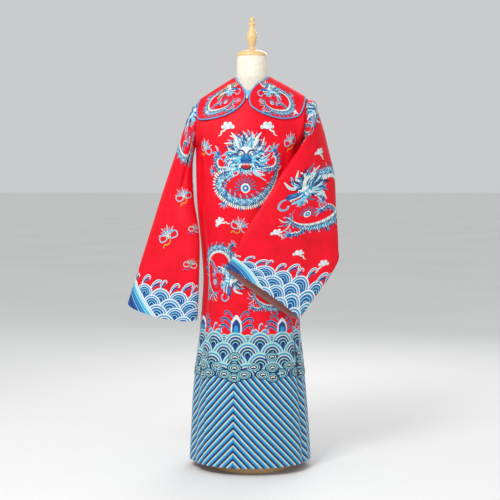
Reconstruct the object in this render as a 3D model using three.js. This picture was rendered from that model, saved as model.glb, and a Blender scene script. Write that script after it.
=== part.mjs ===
// A Chinese dragon robe on a limbless dress form. Millimetres, +Z up, origin on the floor under the pole.
// The robe's front looks along -Y, and the wearer's left is +X.
import * as THREE from 'three';
import { mergeVertices } from 'three/addons/utils/BufferGeometryUtils.js';

// ---- Driving dimensions -------------------------------------------------------------------------

const CLOTH = 1.6; // satin with its lining
const SEAM = 0.3; // from each sewn edge to the middle of its seam
const HEM_Z = 30;
const UNDERARM_Z = 1205;
const PEAK_Z = 1483; // where the two shoulder slopes would meet over the neck
const SHOULDER_SLOPE = { right: 0.67, left: 0.57 };
const SHOULDER_SOFTNESS = 40;
const ARMHOLE_X = 203;
const ARMHOLE_HALF_DEPTH = 72;
const NECK_HALF_WIDTH = 66;
const NECK_FRONT_ANGLE = 42; // degrees down the yoke from the shoulder ridge
const NECK_BACK_ANGLE = 30;
const YOKE_POWER = { front: 1.45, back: 1.1 };
const SIDE_ROUNDNESS = 0.9;

// Level sections of the body tube: height, middle, half width, depth in front, depth behind.
const SECTIONS = [
  [30, -7, 230, 200, 195],
  [150, -7.5, 223, 190, 186],
  [270, -9, 215, 179, 175],
  [387, -8.5, 204, 169, 163],
  [520, -7, 189, 160, 152],
  [620, -5, 184, 155, 146],
  [720, -4, 180, 152, 142],
  [850, -7, 186, 150, 140],
  [1000, -12, 195, 150, 138],
  [1205, -12, 199, 148, 138],
];

// Hanging folds: which side, place across from -1 (wearer's right) to 1, half width, and depth at the
// underarm and at the hem.
const FOLDS = [
  ['front', -0.76, 0.07, 9, 7],
  ['front', 0.7, 0.06, 7, 11],
  ['front', 0.86, 0.05, 6, 3],
  ['back', -0.78, 0.07, 10, 8],
  ['back', -0.42, 0.08, 4, 12],
  ['back', 0, 0.09, 3, 9],
  ['back', 0.42, 0.08, 4, 12],
  ['back', 0.78, 0.07, 10, 8],
];
const FOLD_FADE = 110; // over this height above the underarm the folds run out

const OVERLAP_EDGE = -0.55; // where the front overlap ends, on the same scale
const UNDERLAP_END = -0.4;
const UNDERLAP_STEP = 2.6; // how far the underlap lies inside the overlap
const UNDERLAP_STEP_FROM = -0.97; // where across it starts to slip inside, and where it has done so
const UNDERLAP_STEP_TO = -0.59;
const HEART_Z = 1145; // from here up, the middle of the garment is taken to be this high

// Rings of each sleeve, by how far along it they are: its top fold, its underarm fold, and half its
// depth to the front. The first is the armhole and the last is the cuff.
const SLEEVE_RIGHT = [
  { at: 0, top: [-203, 0, 1371.2], under: [-211, 0, 1205], front: [0, -72.3, 0] },
  { at: 0.15, top: [-212, 0, 1365], under: [-213, -1, 1198], front: [0, -72, 0] },
  { at: 1, top: [-242, -2, 1303], under: [-219, -6, 1168], front: [-2, -66, 0] },
  { at: 2, top: [-281, -4, 1192], under: [-222, -18, 1112], front: [-5, -57, 2] },
  { at: 3, top: [-327, -4, 1055], under: [-217, -45, 1010], front: [-12, -46, 2] },
  { at: 4, top: [-370, -2, 922], under: [-196, -78, 876], front: [-17, -38, -2] },
  { at: 5, top: [-420, -8, 768], under: [-196, -84, 724], front: [-13, -36, -12] },
  { at: 6, top: [-465, -24, 619], under: [-203, -78, 566], front: [-7, -33, -22] },
];
const SLEEVE_LEFT = [
  { at: 0, top: [203, 0, 1387.8], under: [187, 0, 1205], front: [0, -72.3, 0] },
  { at: 0.15, top: [211, 0, 1383.3], under: [190, 0, 1200], front: [0, -73, 0] },
  { at: 1, top: [236, -6, 1368], under: [202, 0, 1188], front: [2, -78, 6] },
  { at: 2, top: [254, -54, 1262], under: [198, -26, 1164], front: [-42, -66, 6] },
  { at: 3, top: [224, -128, 1118], under: [190, -72, 1094], front: [-97, -62, 6] },
  { at: 4, top: [199, -152, 1012], under: [175, -99, 1000], front: [-124, -58, 27] },
  { at: 5, top: [156, -178, 882], under: [145, -124, 870], front: [-167, -51, 37] },
  { at: 6, top: [125, -189, 800], under: [119, -138, 788], front: [-183, -43, 32] },
  { at: 7, top: [46, -209, 681], under: [31, -160, 655], front: [-131, -22, 94] },
];
const ARMHOLE_GAP = 1; // from the body's edge to the sleeve's
const SLEEVE_STEP = 0.5; // between rows of the sleeves' facets

const LINING = 1;
const LINING_GAP = 0.3;

// The cape collar's inner and outer edge, from its front opening over the shoulder to the middle of the
// back: how far across, and degrees down the yoke (behind it where negative).
const CAPE_RIGHT = [
  { inner: [-20, 47], outer: [-24, 53] },
  { inner: [-27, 41], outer: [-45, 58] },
  { inner: [-40, 33], outer: [-90, 61] },
  { inner: [-53, 24], outer: [-143, 58] },
  { inner: [-60, 15], outer: [-184, 47] },
  { inner: [-63, 6], outer: [-198, 32] },
  { inner: [-63, 0], outer: [-188, 6] },
  { inner: [-63, -8], outer: [-186, -20] },
  { inner: [-52, -20], outer: [-168, -44] },
  { inner: [-30, -30], outer: [-96, -58] },
  { inner: [0, -34], outer: [0, -61] },
];
const CAPE_LEFT = [
  { inner: [1, 47], outer: [0, 53] },
  { inner: [11, 41], outer: [13, 59] },
  { inner: [28, 33], outer: [62, 63] },
  { inner: [50, 24], outer: [124, 62] },
  { inner: [60, 15], outer: [172, 50] },
  { inner: [63, 6], outer: [191, 32] },
  { inner: [63, 0], outer: [194, 6] },
  { inner: [63, -8], outer: [188, -20] },
  { inner: [52, -20], outer: [168, -44] },
  { inner: [30, -30], outer: [96, -58] },
  { inner: [0, -34], outer: [0, -61] },
];
const CAPE_CLOTH = 2;
const CAPE_LIFT = 4.6; // from the yoke's face to the cape's underside
const PIPING_RADIUS = 2.4;

const BAND_CLOTH = 1.4;
const BAND_LIFT = 1;
const BAND_ANGLE = 6; // width of the neck band, in degrees down the yoke
const BAND_CLEAR_ANGLE = 0.6; // from the neckline to the band, likewise
const BAND_CLEAR_SHARE = 1.02; // how much wider than the neckline the band starts, and how much wider it ends
const BAND_SPREAD = 0.26;
const BUTTON = { x: -10.8, angle: 50, radius: 4.6, halfHeight: 8, lift: 6.4 };

// The form's level sections: height, half width, depth in front, depth behind.
const TORSO = [
  [740, 150, 106, 112],
  [800, 156, 108, 118],
  [900, 140, 102, 106],
  [1000, 124, 96, 92],
  [1100, 142, 110, 100],
  [1190, 160, 114, 104],
  [1250, 170, 104, 98],
  [1310, 181, 90, 88],
  [1350, 180, 80, 74],
  [1382, 162, 69, 60],
  [1404, 132, 59, 50],
  [1428, 84, 51, 46],
  [1448, 60, 52, 47],
  [1470, 58, 57, 53],
  [1510, 56.5, 56.5, 55],
  [1542, 55.7, 55.7, 55.7],
];
const CHEST_Z = 1250; // the form's rings are closer together between these heights
const NECK_FOOT_Z = 1470;
const CAP = { radius: 55.7, height: 24, rim: 7, domeShare: 0.86 };
const POLE_RADIUS = 15;
const BASE = { radius: 150, height: 20, chamfer: 5 };

// How many facets go round each round piece.
const SIDES = { sleeve: 24, torso: 28, cap: 24, finial: 16, pole: 16, base: 32, piping: 5, button: 12 };
const MERGE = 1e-3; // points this close are one

// ---- Curves and surfaces ------------------------------------------------------------------------

const HALF_TURN = Math.PI;
const QUARTER_TURN = Math.PI / 2;
const degrees = THREE.MathUtils.degToRad;
const mix = THREE.MathUtils.lerp;

// A smooth value between rows of numbers whose first entries, the keys, rise.
function between(rows, key) {
  const last = rows.length - 1;
  let i = 0;
  while (i < last - 1 && key > rows[i + 1][0]) i++;
  const span = rows[i + 1][0] - rows[i][0];
  const t = THREE.MathUtils.clamp((key - rows[i][0]) / span, 0, 1);
  const slope = (k, c) => {
    const a = Math.max(k - 1, 0);
    const b = Math.min(k + 1, last);
    return ((rows[b][c] - rows[a][c]) / (rows[b][0] - rows[a][0])) * span;
  };
  return rows[i].map((from, c) => {
    const to = rows[i + 1][c];
    const [m0, m1] = [slope(i, c), slope(i + 1, c)];
    return (
      (2 * t ** 3 - 3 * t ** 2 + 1) * from +
      (t ** 3 - 2 * t ** 2 + t) * m0 +
      (3 * t ** 2 - 2 * t ** 3) * to +
      (t ** 3 - t ** 2) * m1
    );
  });
}

const depthOf = (side, front, back) => (side === 'front' ? front : back);
const signOf = (side) => (side === 'front' ? -1 : 1);

// How far the hanging folds pull the cloth in at a place across the body and a height.
function foldDepth(side, across, z) {
  const fall = (UNDERARM_Z - z) / (UNDERARM_Z - HEM_Z);
  const fade = THREE.MathUtils.smoothstep(UNDERARM_Z + FOLD_FADE - z, 0, FOLD_FADE);
  let depth = 0;
  for (const [where, middle, width, top, hem] of FOLDS) {
    if (where !== side) continue;
    const size = mix(top, hem, THREE.MathUtils.clamp(fall, 0, 1));
    depth += size * Math.exp(-(((across - middle) / width) ** 2));
  }
  return depth * fade;
}

// A point of the body below the underarm.
function tubePoint(side, across, z) {
  const [, middle, half, front, back] = between(SECTIONS, z);
  const depth = depthOf(side, front, back);
  const [sin, cos] = [Math.sin(across * QUARTER_TURN), Math.abs(Math.cos(across * QUARTER_TURN))];
  const fold = foldDepth(side, across, z);
  const out = Math.hypot(sin * depth, cos * half);
  const x = middle + half * sin - (fold * sin * depth) / out;
  const y = SEAM + depth * cos ** SIDE_ROUNDNESS - (fold * cos * half) / out;
  return new THREE.Vector3(x, signOf(side) * y, z);
}

// A point of the yoke: angle 0 is on the shoulder ridge and a quarter turn is at the underarm.
function yokePoint(side, across, angle) {
  const [, middle, half, front, back] = between(SECTIONS, UNDERARM_Z);
  const depth = depthOf(side, front, back);
  const [sin, cos] = [Math.sin(across * QUARTER_TURN), Math.abs(Math.cos(across * QUARTER_TURN))];
  const slope = across < 0 ? SHOULDER_SLOPE.right : SHOULDER_SLOPE.left;
  const ridgeX = ARMHOLE_X * sin;
  const ridgeZ = PEAK_Z - slope * (Math.hypot(ridgeX, SHOULDER_SOFTNESS) - SHOULDER_SOFTNESS);
  const edge = sin ** 6;
  const [drop, rise] = [Math.sin(angle), Math.cos(angle)];
  const z = UNDERARM_Z + (ridgeZ - UNDERARM_Z) * mix(rise, rise ** 2, edge);
  const fold = foldDepth(side, across, z);
  const out = Math.hypot(sin * depth, cos * half);
  const power = depthOf(side, YOKE_POWER.front, YOKE_POWER.back);
  const bulge = ARMHOLE_HALF_DEPTH * Math.sin(2 * angle) * edge;
  const x = mix(ridgeX, middle + half * sin, drop ** 2) - (fold * sin * depth) / out;
  const y = SEAM + depth * cos ** SIDE_ROUNDNESS * drop ** power + bulge - (fold * cos * half) / out;
  return new THREE.Vector3(x, signOf(side) * y, z);
}

// Where the neckline cuts the yoke.
function neckAngle(side, across) {
  const share = (ARMHOLE_X * Math.sin(across * QUARTER_TURN)) / NECK_HALF_WIDTH;
  const deepest = degrees(depthOf(side, NECK_FRONT_ANGLE, NECK_BACK_ANGLE));
  return Math.abs(share) < 1 ? deepest * Math.sqrt(1 - share ** 2) : 0;
}

// The whole body panel: down is 0 at the neck or shoulder, 1 at the underarm and 2 at the hem.
const bodyPoint = (side) => (across, down) =>
  down < 1
    ? yokePoint(side, across, mix(neckAngle(side, across), QUARTER_TURN, down))
    : tubePoint(side, across, mix(UNDERARM_Z, HEM_Z, down - 1));

// The yoke by a distance across in millimetres and signed degrees down it, in front where positive.
function capePoint(x, angle) {
  const across = Math.asin(x / ARMHOLE_X) / QUARTER_TURN;
  return yokePoint(angle < 0 ? 'back' : 'front', across, degrees(Math.abs(angle)));
}

// A sleeve's surface: around is 0 on the top fold and 0.25 in front.
const sleevePoint = (rings) => {
  const rows = rings.map(({ at, top, under, front }) => [at, ...top, ...under, ...front]);
  return (around, along) => {
    const row = between(rows, along);
    const [top, under, front] = [1, 4, 7].map((k) => new THREE.Vector3(row[k], row[k + 1], row[k + 2]));
    const turn = around * 2 * HALF_TURN;
    const middle = top.clone().add(under).multiplyScalar(0.5);
    return middle
      .addScaledVector(top.sub(under), Math.cos(turn) / 2)
      .addScaledVector(front, Math.sin(turn));
  };
};

// ---- Solids -------------------------------------------------------------------------------------

const steps = (from, to, count) => Array.from({ length: count + 1 }, (_, i) => mix(from, to, i / count));

// A closed geometry from points and triangles, turned so that its faces look outwards.
function solid(points, triangles) {
  const volume = triangles.reduce((sum, [a, b, c]) => {
    const cross = new THREE.Vector3().crossVectors(points[b], points[c]);
    return sum + points[a].dot(cross);
  }, 0);
  const order = volume < 0 ? triangles.map(([a, b, c]) => [a, c, b]) : triangles;
  const geometry = new THREE.BufferGeometry().setFromPoints(points);
  geometry.setIndex(order.flat());
  return geometry;
}

// The outward direction of a surface at a place, from its slopes there. inside gives a point within the
// garment behind that place.
function outward(surface, u, v, uRange, vRange, inside) {
  const step = 1e-3;
  const slope = (at, [low, high], place) => {
    const from = place(Math.max(at - step, low));
    return place(Math.min(at + step, high)).sub(from);
  };
  const across = slope(u, uRange, (k) => surface(k, v));
  const along = slope(v, vRange, (k) => surface(u, k));
  const out = across.cross(along).normalize();
  const point = surface(u, v);
  return out.dot(point.sub(inside(point, u, v))) < 0 ? out.negate() : out;
}

// A point in the middle of the body, level with a point of its cloth or under the yoke.
const insideBody = (point) => new THREE.Vector3(0, 0, Math.min(point.z, HEART_Z));

// A wall of cloth on a surface, over the given places across and along. Its outer face is lift outside
// the surface.
function wall(surface, us, vs, { thickness = CLOTH, lift = 0, inside = insideBody, closed = false } = {}) {
  const uRange = closed ? [-1, 2] : [us[0], us.at(-1)];
  const vRange = [vs[0], vs.at(-1)];
  const rows = us.length;
  const columns = vs.length;
  const points = [];
  for (const height of [lift, lift - thickness]) {
    for (const u of us) {
      for (const v of vs) {
        const out = outward(surface, u, v, uRange, vRange, inside);
        points.push(surface(u, v).addScaledVector(out, height));
      }
    }
  }
  const at = (face, i, j) => face * rows * columns + (i % rows) * columns + j;
  const triangles = [];
  const quad = (a, b, c, d) => triangles.push([a, b, c], [a, c, d]);
  const spans = closed ? rows : rows - 1;
  for (let i = 0; i < spans; i++) {
    for (let j = 0; j < columns - 1; j++) {
      quad(at(0, i, j), at(0, i + 1, j), at(0, i + 1, j + 1), at(0, i, j + 1));
      quad(at(1, i, j), at(1, i, j + 1), at(1, i + 1, j + 1), at(1, i + 1, j));
    }
    quad(at(0, i + 1, 0), at(0, i, 0), at(1, i, 0), at(1, i + 1, 0));
    quad(at(0, i, columns - 1), at(0, i + 1, columns - 1), at(1, i + 1, columns - 1), at(1, i, columns - 1));
  }
  if (!closed) {
    for (let j = 0; j < columns - 1; j++) {
      quad(at(0, 0, j), at(0, 0, j + 1), at(1, 0, j + 1), at(1, 0, j));
      quad(at(0, rows - 1, j + 1), at(0, rows - 1, j), at(1, rows - 1, j), at(1, rows - 1, j + 1));
    }
  }
  return solid(points, triangles);
}

// A closed loop of cord through places that each have a point and the cloth's outward direction there.
function cordLoop(places, radius, sides) {
  const count = places.length;
  const points = [];
  places.forEach(({ point, out }, i) => {
    const ahead = places[(i + 1) % count].point.clone().sub(places[(i + count - 1) % count].point);
    const across = new THREE.Vector3().crossVectors(ahead.normalize(), out).normalize();
    const up = new THREE.Vector3().crossVectors(across, ahead);
    for (let k = 0; k < sides; k++) {
      const turn = (k / sides) * 2 * HALF_TURN;
      const ring = point.clone().addScaledVector(across, radius * Math.cos(turn));
      points.push(ring.addScaledVector(up, radius * Math.sin(turn)));
    }
  });
  const at = (i, k) => (i % count) * sides + (k % sides);
  const triangles = [];
  for (let i = 0; i < count; i++) {
    for (let k = 0; k < sides; k++) {
      triangles.push([at(i, k), at(i + 1, k), at(i + 1, k + 1)]);
      triangles.push([at(i, k), at(i + 1, k + 1), at(i, k + 1)]);
    }
  }
  return solid(points, triangles);
}

// A solid through level rings, with flat ends.
function stack(rings) {
  const sides = rings[0].length;
  const points = rings.flat();
  const triangles = [];
  for (let i = 0; i < rings.length - 1; i++) {
    for (let k = 0; k < sides; k++) {
      const next = (k + 1) % sides;
      const [a, b] = [i * sides + k, i * sides + next];
      triangles.push([a, b, b + sides], [a, b + sides, a + sides]);
    }
  }
  for (const [start, turned] of [[0, true], [(rings.length - 1) * sides, false]]) {
    for (let k = 1; k < sides - 1; k++) {
      triangles.push(turned ? [start, start + k + 1, start + k] : [start, start + k, start + k + 1]);
    }
  }
  return solid(points, triangles);
}

// A turned piece: its profile is pairs of radius and height, from the axis back to the axis.
function turned(profile, sides) {
  const points = profile.map(([radius, height]) => new THREE.Vector2(radius, height));
  const geometry = new THREE.LatheGeometry(points, sides);
  geometry.rotateX(QUARTER_TURN);
  geometry.deleteAttribute('normal');
  geometry.deleteAttribute('uv');
  return mergeVertices(geometry, MERGE);
}

// ---- The robe -----------------------------------------------------------------------------------

const YOKE_ROWS = steps(0, 1, 6);
const BODY_ROWS = [...YOKE_ROWS, ...steps(1, 2, 8).slice(1)];
const NECK_EDGE = Math.asin(NECK_HALF_WIDTH / ARMHOLE_X) / QUARTER_TURN;
const NECK_COLUMNS = steps(-NECK_EDGE, NECK_EDGE, 8);

function frontOverlap() {
  const columns = [
    ...steps(OVERLAP_EDGE, -NECK_EDGE, 7).slice(0, -1),
    ...NECK_COLUMNS,
    ...steps(NECK_EDGE, 1, 15).slice(1),
  ];
  return wall(bodyPoint('front'), columns, BODY_ROWS);
}

// The underlap is sewn in at the side and slips inside the overlap.
function frontUnderlap() {
  const onBody = bodyPoint('front');
  const surface = (across, down) => {
    const share = THREE.MathUtils.smoothstep(across, UNDERLAP_STEP_FROM, UNDERLAP_STEP_TO);
    const point = onBody(across, down);
    const out = outward(onBody, across, down, [-1, 1], [0, 2], insideBody);
    return point.addScaledVector(out, -UNDERLAP_STEP * share);
  };
  return wall(surface, steps(-1, UNDERLAP_END, 9), BODY_ROWS);
}

function backPanel() {
  const side = steps(NECK_EDGE, 1, 12).slice(1);
  const columns = [...side.map((k) => -k).reverse(), ...NECK_COLUMNS, ...side];
  return wall(bodyPoint('back'), columns, BODY_ROWS);
}

const AROUND = steps(0, 1, SIDES.sleeve).slice(0, -1);

// The sleeve starts just outside the body's armhole.
function sleeve(rings, armSide) {
  const onRings = sleevePoint(rings);
  const surface = (around, along) => {
    const point = onRings(around, along);
    point.x += armSide * ARMHOLE_GAP;
    return point;
  };
  const inside = (point, around, along) => {
    const opposite = surface(around + 0.5, along);
    return opposite.add(surface(around, along)).divideScalar(2);
  };
  return { surface, inside, cuff: rings.at(-1).at };
}

const SLEEVES = { right: sleeve(SLEEVE_RIGHT, -1), left: sleeve(SLEEVE_LEFT, 1) };

function sleeveWall(arm) {
  const { surface, inside, cuff } = SLEEVES[arm];
  return wall(surface, AROUND, steps(0, cuff, cuff / SLEEVE_STEP), { inside, closed: true });
}

function cuffLining(arm) {
  const { surface, inside, cuff } = SLEEVES[arm];
  const rows = [cuff - SLEEVE_STEP, cuff];
  const lift = -CLOTH - LINING_GAP;
  return wall(surface, AROUND, rows, { thickness: LINING, lift, inside, closed: true });
}

// The cape as one surface: round runs from the wearer's right front opening over the back to the left
// one, and outwards from the neck edge to the outer edge.
const CAPE_ROWS = [...CAPE_RIGHT, ...CAPE_LEFT.slice(0, -1).reverse()].map(({ inner, outer }, i) => [
  i,
  ...inner,
  ...outer,
]);
const CAPE_END = CAPE_ROWS.length - 1;

function capeSurface(round, outwards) {
  const [, innerX, innerAngle, outerX, outerAngle] = between(CAPE_ROWS, round);
  return capePoint(mix(innerX, outerX, outwards), mix(innerAngle, outerAngle, outwards));
}

const capeOut = (round, outwards) =>
  outward(capeSurface, round, outwards, [0, CAPE_END], [0, 1], insideBody);

function capeCollar() {
  const rows = steps(0, CAPE_END, 2 * CAPE_END);
  return wall(capeSurface, rows, steps(0, 1, 5), { thickness: CAPE_CLOTH, lift: CAPE_LIFT + CAPE_CLOTH });
}

// The piping follows the cape's whole edge, just outside its cloth. Each place steps away from the cape
// square to its long edge, to its short front edge, or to both at a corner.
function capePiping() {
  const away = PIPING_RADIUS + SEAM;
  const lift = CAPE_LIFT + CAPE_CLOTH / 2;
  const nudge = 0.02;
  const shortStep = 0.1;
  const place = (round, outwards, onLong, onShort) => {
    const out = capeOut(round, outwards);
    const edge = capeSurface(round, outwards);
    const point = edge.clone().addScaledVector(out, lift);
    const middle = capeSurface(
      onShort ? THREE.MathUtils.clamp(round, nudge, CAPE_END - nudge) : round,
      onLong ? mix(outwards, 0.5, nudge) : outwards,
    );
    const clear = edge.clone().sub(middle);
    const stepAway = (from, to) => {
      const square = to.sub(from).cross(out).normalize();
      point.addScaledVector(square, square.dot(clear) < 0 ? -away : away);
    };
    const [low, high] = [Math.max(round - nudge, 0), Math.min(round + nudge, CAPE_END)];
    if (onLong) stepAway(capeSurface(low, outwards), capeSurface(high, outwards));
    if (onShort) {
      const start = (1 - shortStep) * outwards;
      stepAway(capeSurface(round, start), capeSurface(round, start + shortStep));
    }
    return { point, out };
  };
  const long = steps(0, CAPE_END, 2 * CAPE_END).slice(1, -1);
  const short = [0.25, 0.5, 0.75];
  const path = [
    place(0, 1, true, true),
    ...long.map((k) => place(k, 1, true, false)),
    place(CAPE_END, 1, true, true),
    ...short.toReversed().map((k) => place(CAPE_END, k, false, true)),
    place(CAPE_END, 0, true, true),
    ...long.toReversed().map((k) => place(k, 0, true, false)),
    place(0, 0, true, true),
    ...short.map((k) => place(0, k, false, true)),
  ];
  return cordLoop(path, PIPING_RADIUS, SIDES.piping);
}

// The neck band lies on the yoke round the neckline.
function neckBand() {
  const surface = (turn, outwards) => {
    const [sin, cos] = [Math.sin(turn * 2 * HALF_TURN), Math.cos(turn * 2 * HALF_TURN)];
    const deepest = sin < 0 ? NECK_BACK_ANGLE : NECK_FRONT_ANGLE;
    const reach = BAND_CLEAR_SHARE + outwards * BAND_SPREAD;
    const angle = sin * (deepest + outwards * BAND_ANGLE + BAND_CLEAR_ANGLE);
    return capePoint(NECK_HALF_WIDTH * cos * reach, angle);
  };
  const lift = BAND_LIFT + BAND_CLOTH;
  return wall(surface, AROUND, steps(0, 1, 2), { thickness: BAND_CLOTH, lift, closed: true });
}

function neckButton() {
  const across = Math.asin(BUTTON.x / ARMHOLE_X) / QUARTER_TURN;
  const yoke = (k, angle) => yokePoint('front', k, angle);
  const out = outward(yoke, across, degrees(BUTTON.angle), [-1, 1], [0, QUARTER_TURN], insideBody);
  const middle = yokePoint('front', across, degrees(BUTTON.angle)).addScaledVector(out, BUTTON.lift);
  const geometry = new THREE.SphereGeometry(BUTTON.radius, SIDES.button, 8);
  geometry.deleteAttribute('normal');
  geometry.deleteAttribute('uv');
  geometry.scale(1, BUTTON.halfHeight / BUTTON.radius, 1);
  const along = new THREE.Vector3(1, 0, 0).cross(out).normalize().negate();
  const sideways = along.clone().cross(out).normalize();
  geometry.applyMatrix4(new THREE.Matrix4().makeBasis(sideways, along, out));
  geometry.translate(middle.x, middle.y, middle.z);
  return mergeVertices(geometry, MERGE);
}

// ---- The dress form -----------------------------------------------------------------------------

const TORSO_FLOOR = TORSO[0][0];
const NECK_TOP = TORSO.at(-1)[0];

function formTorso() {
  const below = steps(TORSO_FLOOR, CHEST_Z, 9);
  const shoulders = steps(CHEST_Z, NECK_FOOT_Z, 11).slice(1);
  const heights = [...below, ...shoulders, ...steps(NECK_FOOT_Z, NECK_TOP, 2).slice(1)];
  const rings = heights.map((z) => {
    const [, half, front, back] = between(TORSO, z);
    return steps(0, 1, SIDES.torso).slice(0, -1).map((k) => {
      const [sin, cos] = [Math.sin(k * 2 * HALF_TURN), Math.cos(k * 2 * HALF_TURN)];
      return new THREE.Vector3(half * cos, sin * (sin < 0 ? front : back), z);
    });
  });
  return stack(rings);
}

function formCap() {
  const foot = NECK_TOP + SEAM;
  const dome = steps(0, 1, 5).map((k) => [
    CAP.radius * Math.cos(k * QUARTER_TURN * CAP.domeShare),
    foot + CAP.rim + (CAP.height - CAP.rim) * Math.sin(k * QUARTER_TURN),
  ]);
  return turned([[0, foot], [CAP.radius, foot], ...dome, [0, foot + CAP.height]], SIDES.cap);
}

// The finial's profile from its collar to its knob: radius and height above the cap.
const FINIAL = [
  [0, 0], [14, 0], [14.6, 2.5], [12, 5], [10.3, 9], [10.3, 14], [13, 23], [17, 34], [19.4, 45],
  [19.2, 55], [16, 66], [12, 75], [9.7, 85], [10.2, 90], [12.7, 95], [12.7, 98.5], [9, 102],
  [7, 105], [8.8, 109], [9.2, 113.5], [7.4, 119], [3.6, 122.2], [0, 123],
];

function formFinial() {
  const foot = NECK_TOP + CAP.height + 2 * SEAM;
  return turned(FINIAL.map(([radius, height]) => [radius, foot + height]), SIDES.finial);
}

function formPole() {
  const [foot, top] = [BASE.height + SEAM, TORSO_FLOOR - SEAM];
  return turned([[0, foot], [POLE_RADIUS, foot], [POLE_RADIUS, top], [0, top]], SIDES.pole);
}

function formBase() {
  const { radius, height, chamfer } = BASE;
  const profile = [[0, 0], [radius, 0], [radius, height - chamfer], [radius - chamfer, height], [0, height]];
  return turned(profile, SIDES.base);
}

// ---- Materials and the scene --------------------------------------------------------------------

const finish = (color, roughness, metalness = 0) =>
  new THREE.MeshStandardMaterial({ color, roughness, metalness });

const SATIN = finish('#e01428', 0.45);
const COTTON = finish('#a9716a', 0.9);
const PIPING = finish('#5aa5dc', 0.5);
const BAND = finish('#8fc8e4', 0.55);
const KNOT = finish('#d9dad6', 0.6);
const LINEN = finish('#f3ecda', 0.9);
const BEECH = finish('#e5bc78', 0.5);
const STEEL = finish('#b8bbbf', 0.35, 1);

const PIECES = {
  front_overlap: [frontOverlap(), SATIN],
  front_underlap: [frontUnderlap(), SATIN],
  back_panel: [backPanel(), SATIN],
  sleeve_right: [sleeveWall('right'), SATIN],
  sleeve_left: [sleeveWall('left'), SATIN],
  cuff_lining_left: [cuffLining('left'), COTTON],
  neck_band: [neckBand(), BAND],
  neck_button: [neckButton(), KNOT],
  cape_collar: [capeCollar(), SATIN],
  cape_piping: [capePiping(), PIPING],
  form_torso: [formTorso(), LINEN],
  form_neck_cap: [formCap(), BEECH],
  form_finial: [formFinial(), BEECH],
  form_pole: [formPole(), STEEL],
  form_base: [formBase(), BEECH],
};

const group = new THREE.Group();
for (const [name, [geometry, material]] of Object.entries(PIECES)) {
  const mesh = new THREE.Mesh(geometry, material);
  mesh.name = name;
  group.add(mesh);
}
export default group;
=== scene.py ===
"""A Chinese dragon robe on a limbless dress form: cloth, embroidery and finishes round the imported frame.

The robe's front looks along -Y and the wearer's left is +X. Garment sizes are in millimetres and turn to
metres where a piece is made.
"""

import math

import bmesh
import bpy
import numpy as np
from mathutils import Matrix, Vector


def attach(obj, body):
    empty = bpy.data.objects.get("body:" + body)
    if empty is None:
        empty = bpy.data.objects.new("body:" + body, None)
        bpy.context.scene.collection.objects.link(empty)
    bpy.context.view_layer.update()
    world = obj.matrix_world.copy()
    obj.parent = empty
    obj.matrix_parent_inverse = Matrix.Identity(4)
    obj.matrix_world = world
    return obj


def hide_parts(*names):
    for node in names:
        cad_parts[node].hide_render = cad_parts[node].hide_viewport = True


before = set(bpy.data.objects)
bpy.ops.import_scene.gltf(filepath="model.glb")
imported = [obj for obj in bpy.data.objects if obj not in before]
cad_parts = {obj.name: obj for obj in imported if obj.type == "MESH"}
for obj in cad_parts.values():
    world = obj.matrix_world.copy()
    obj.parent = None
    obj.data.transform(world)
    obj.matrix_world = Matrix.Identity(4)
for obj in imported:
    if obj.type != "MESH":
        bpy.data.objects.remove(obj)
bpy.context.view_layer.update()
MM = 0.001

# ---- The cut: the same surfaces as the frame's solids ------------------------------------------

CLOTH = 1.6
SEAM = 0.3
HEM_Z = 30
UNDERARM_Z = 1205
PEAK_Z = 1483
SLOPE_RIGHT, SLOPE_LEFT = 0.67, 0.57
SHOULDER_SOFTNESS = 40
ARMHOLE_X = 203
ARMHOLE_HALF_DEPTH = 72
NECK_HALF_WIDTH = 66
NECK_ANGLE = {"front": 42, "back": 30}
YOKE_POWER = {"front": 1.45, "back": 1.1}
SIDE_ROUNDNESS = 0.9

# Level sections of the body: height, middle, half width, depth in front, depth behind.
SECTIONS = [
    (30, -7, 230, 200, 195),
    (150, -7.5, 223, 190, 186),
    (270, -9, 215, 179, 175),
    (387, -8.5, 204, 169, 163),
    (520, -7, 189, 160, 152),
    (620, -5, 184, 155, 146),
    (720, -4, 180, 152, 142),
    (850, -7, 186, 150, 140),
    (1000, -12, 195, 150, 138),
    (1205, -12, 199, 148, 138),
]
# Hanging folds: side, place across, half width, depth at the underarm and at the hem.
FOLDS = [
    ("front", -0.76, 0.07, 9, 7),
    ("front", 0.7, 0.06, 7, 11),
    ("front", 0.86, 0.05, 6, 3),
    ("back", -0.78, 0.07, 10, 8),
    ("back", -0.42, 0.08, 4, 12),
    ("back", 0, 0.09, 3, 9),
    ("back", 0.42, 0.08, 4, 12),
    ("back", 0.78, 0.07, 10, 8),
]
FOLD_FADE = 110
# Soft creases pressed into the cloth: side, from (across, height) to (across, height), half width in mm
# and depth.
CREASES = [
    ("front", (-0.3, 1190), (-0.24, 700), 9, 3.3),
    ("front", (0.52, 1200), (0.34, 1020), 11, 4.5),
    ("front", (-0.62, 1190), (-0.42, 1010), 10, 3.9),
    ("front", (0.3, 620), (0.42, 120), 13, 3.9),
    ("front", (0.06, 860), (0.02, 520), 12, 2.7),
    ("front", (-0.38, 560), (-0.46, 90), 12, 3.6),
    ("back", (-0.25, 1180), (-0.12, 760), 13, 4.5),
    ("back", (0.25, 1180), (0.14, 760), 13, 4.5),
    ("back", (-0.6, 620), (-0.62, 120), 12, 4.5),
    ("back", (0.6, 620), (0.62, 120), 12, 4.5),
    ("back", (-0.2, 560), (-0.2, 90), 11, 4.5),
    ("back", (0.2, 560), (0.2, 90), 11, 4.5),
]
ACROSS_MM = 270  # how far one unit of place across is, for a crease's width

OVERLAP_EDGE = -0.55
UNDERLAP_END = -0.4
UNDERLAP_STEP = 2.6
UNDERLAP_STEP_FROM, UNDERLAP_STEP_TO = -0.97, -0.59

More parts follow.
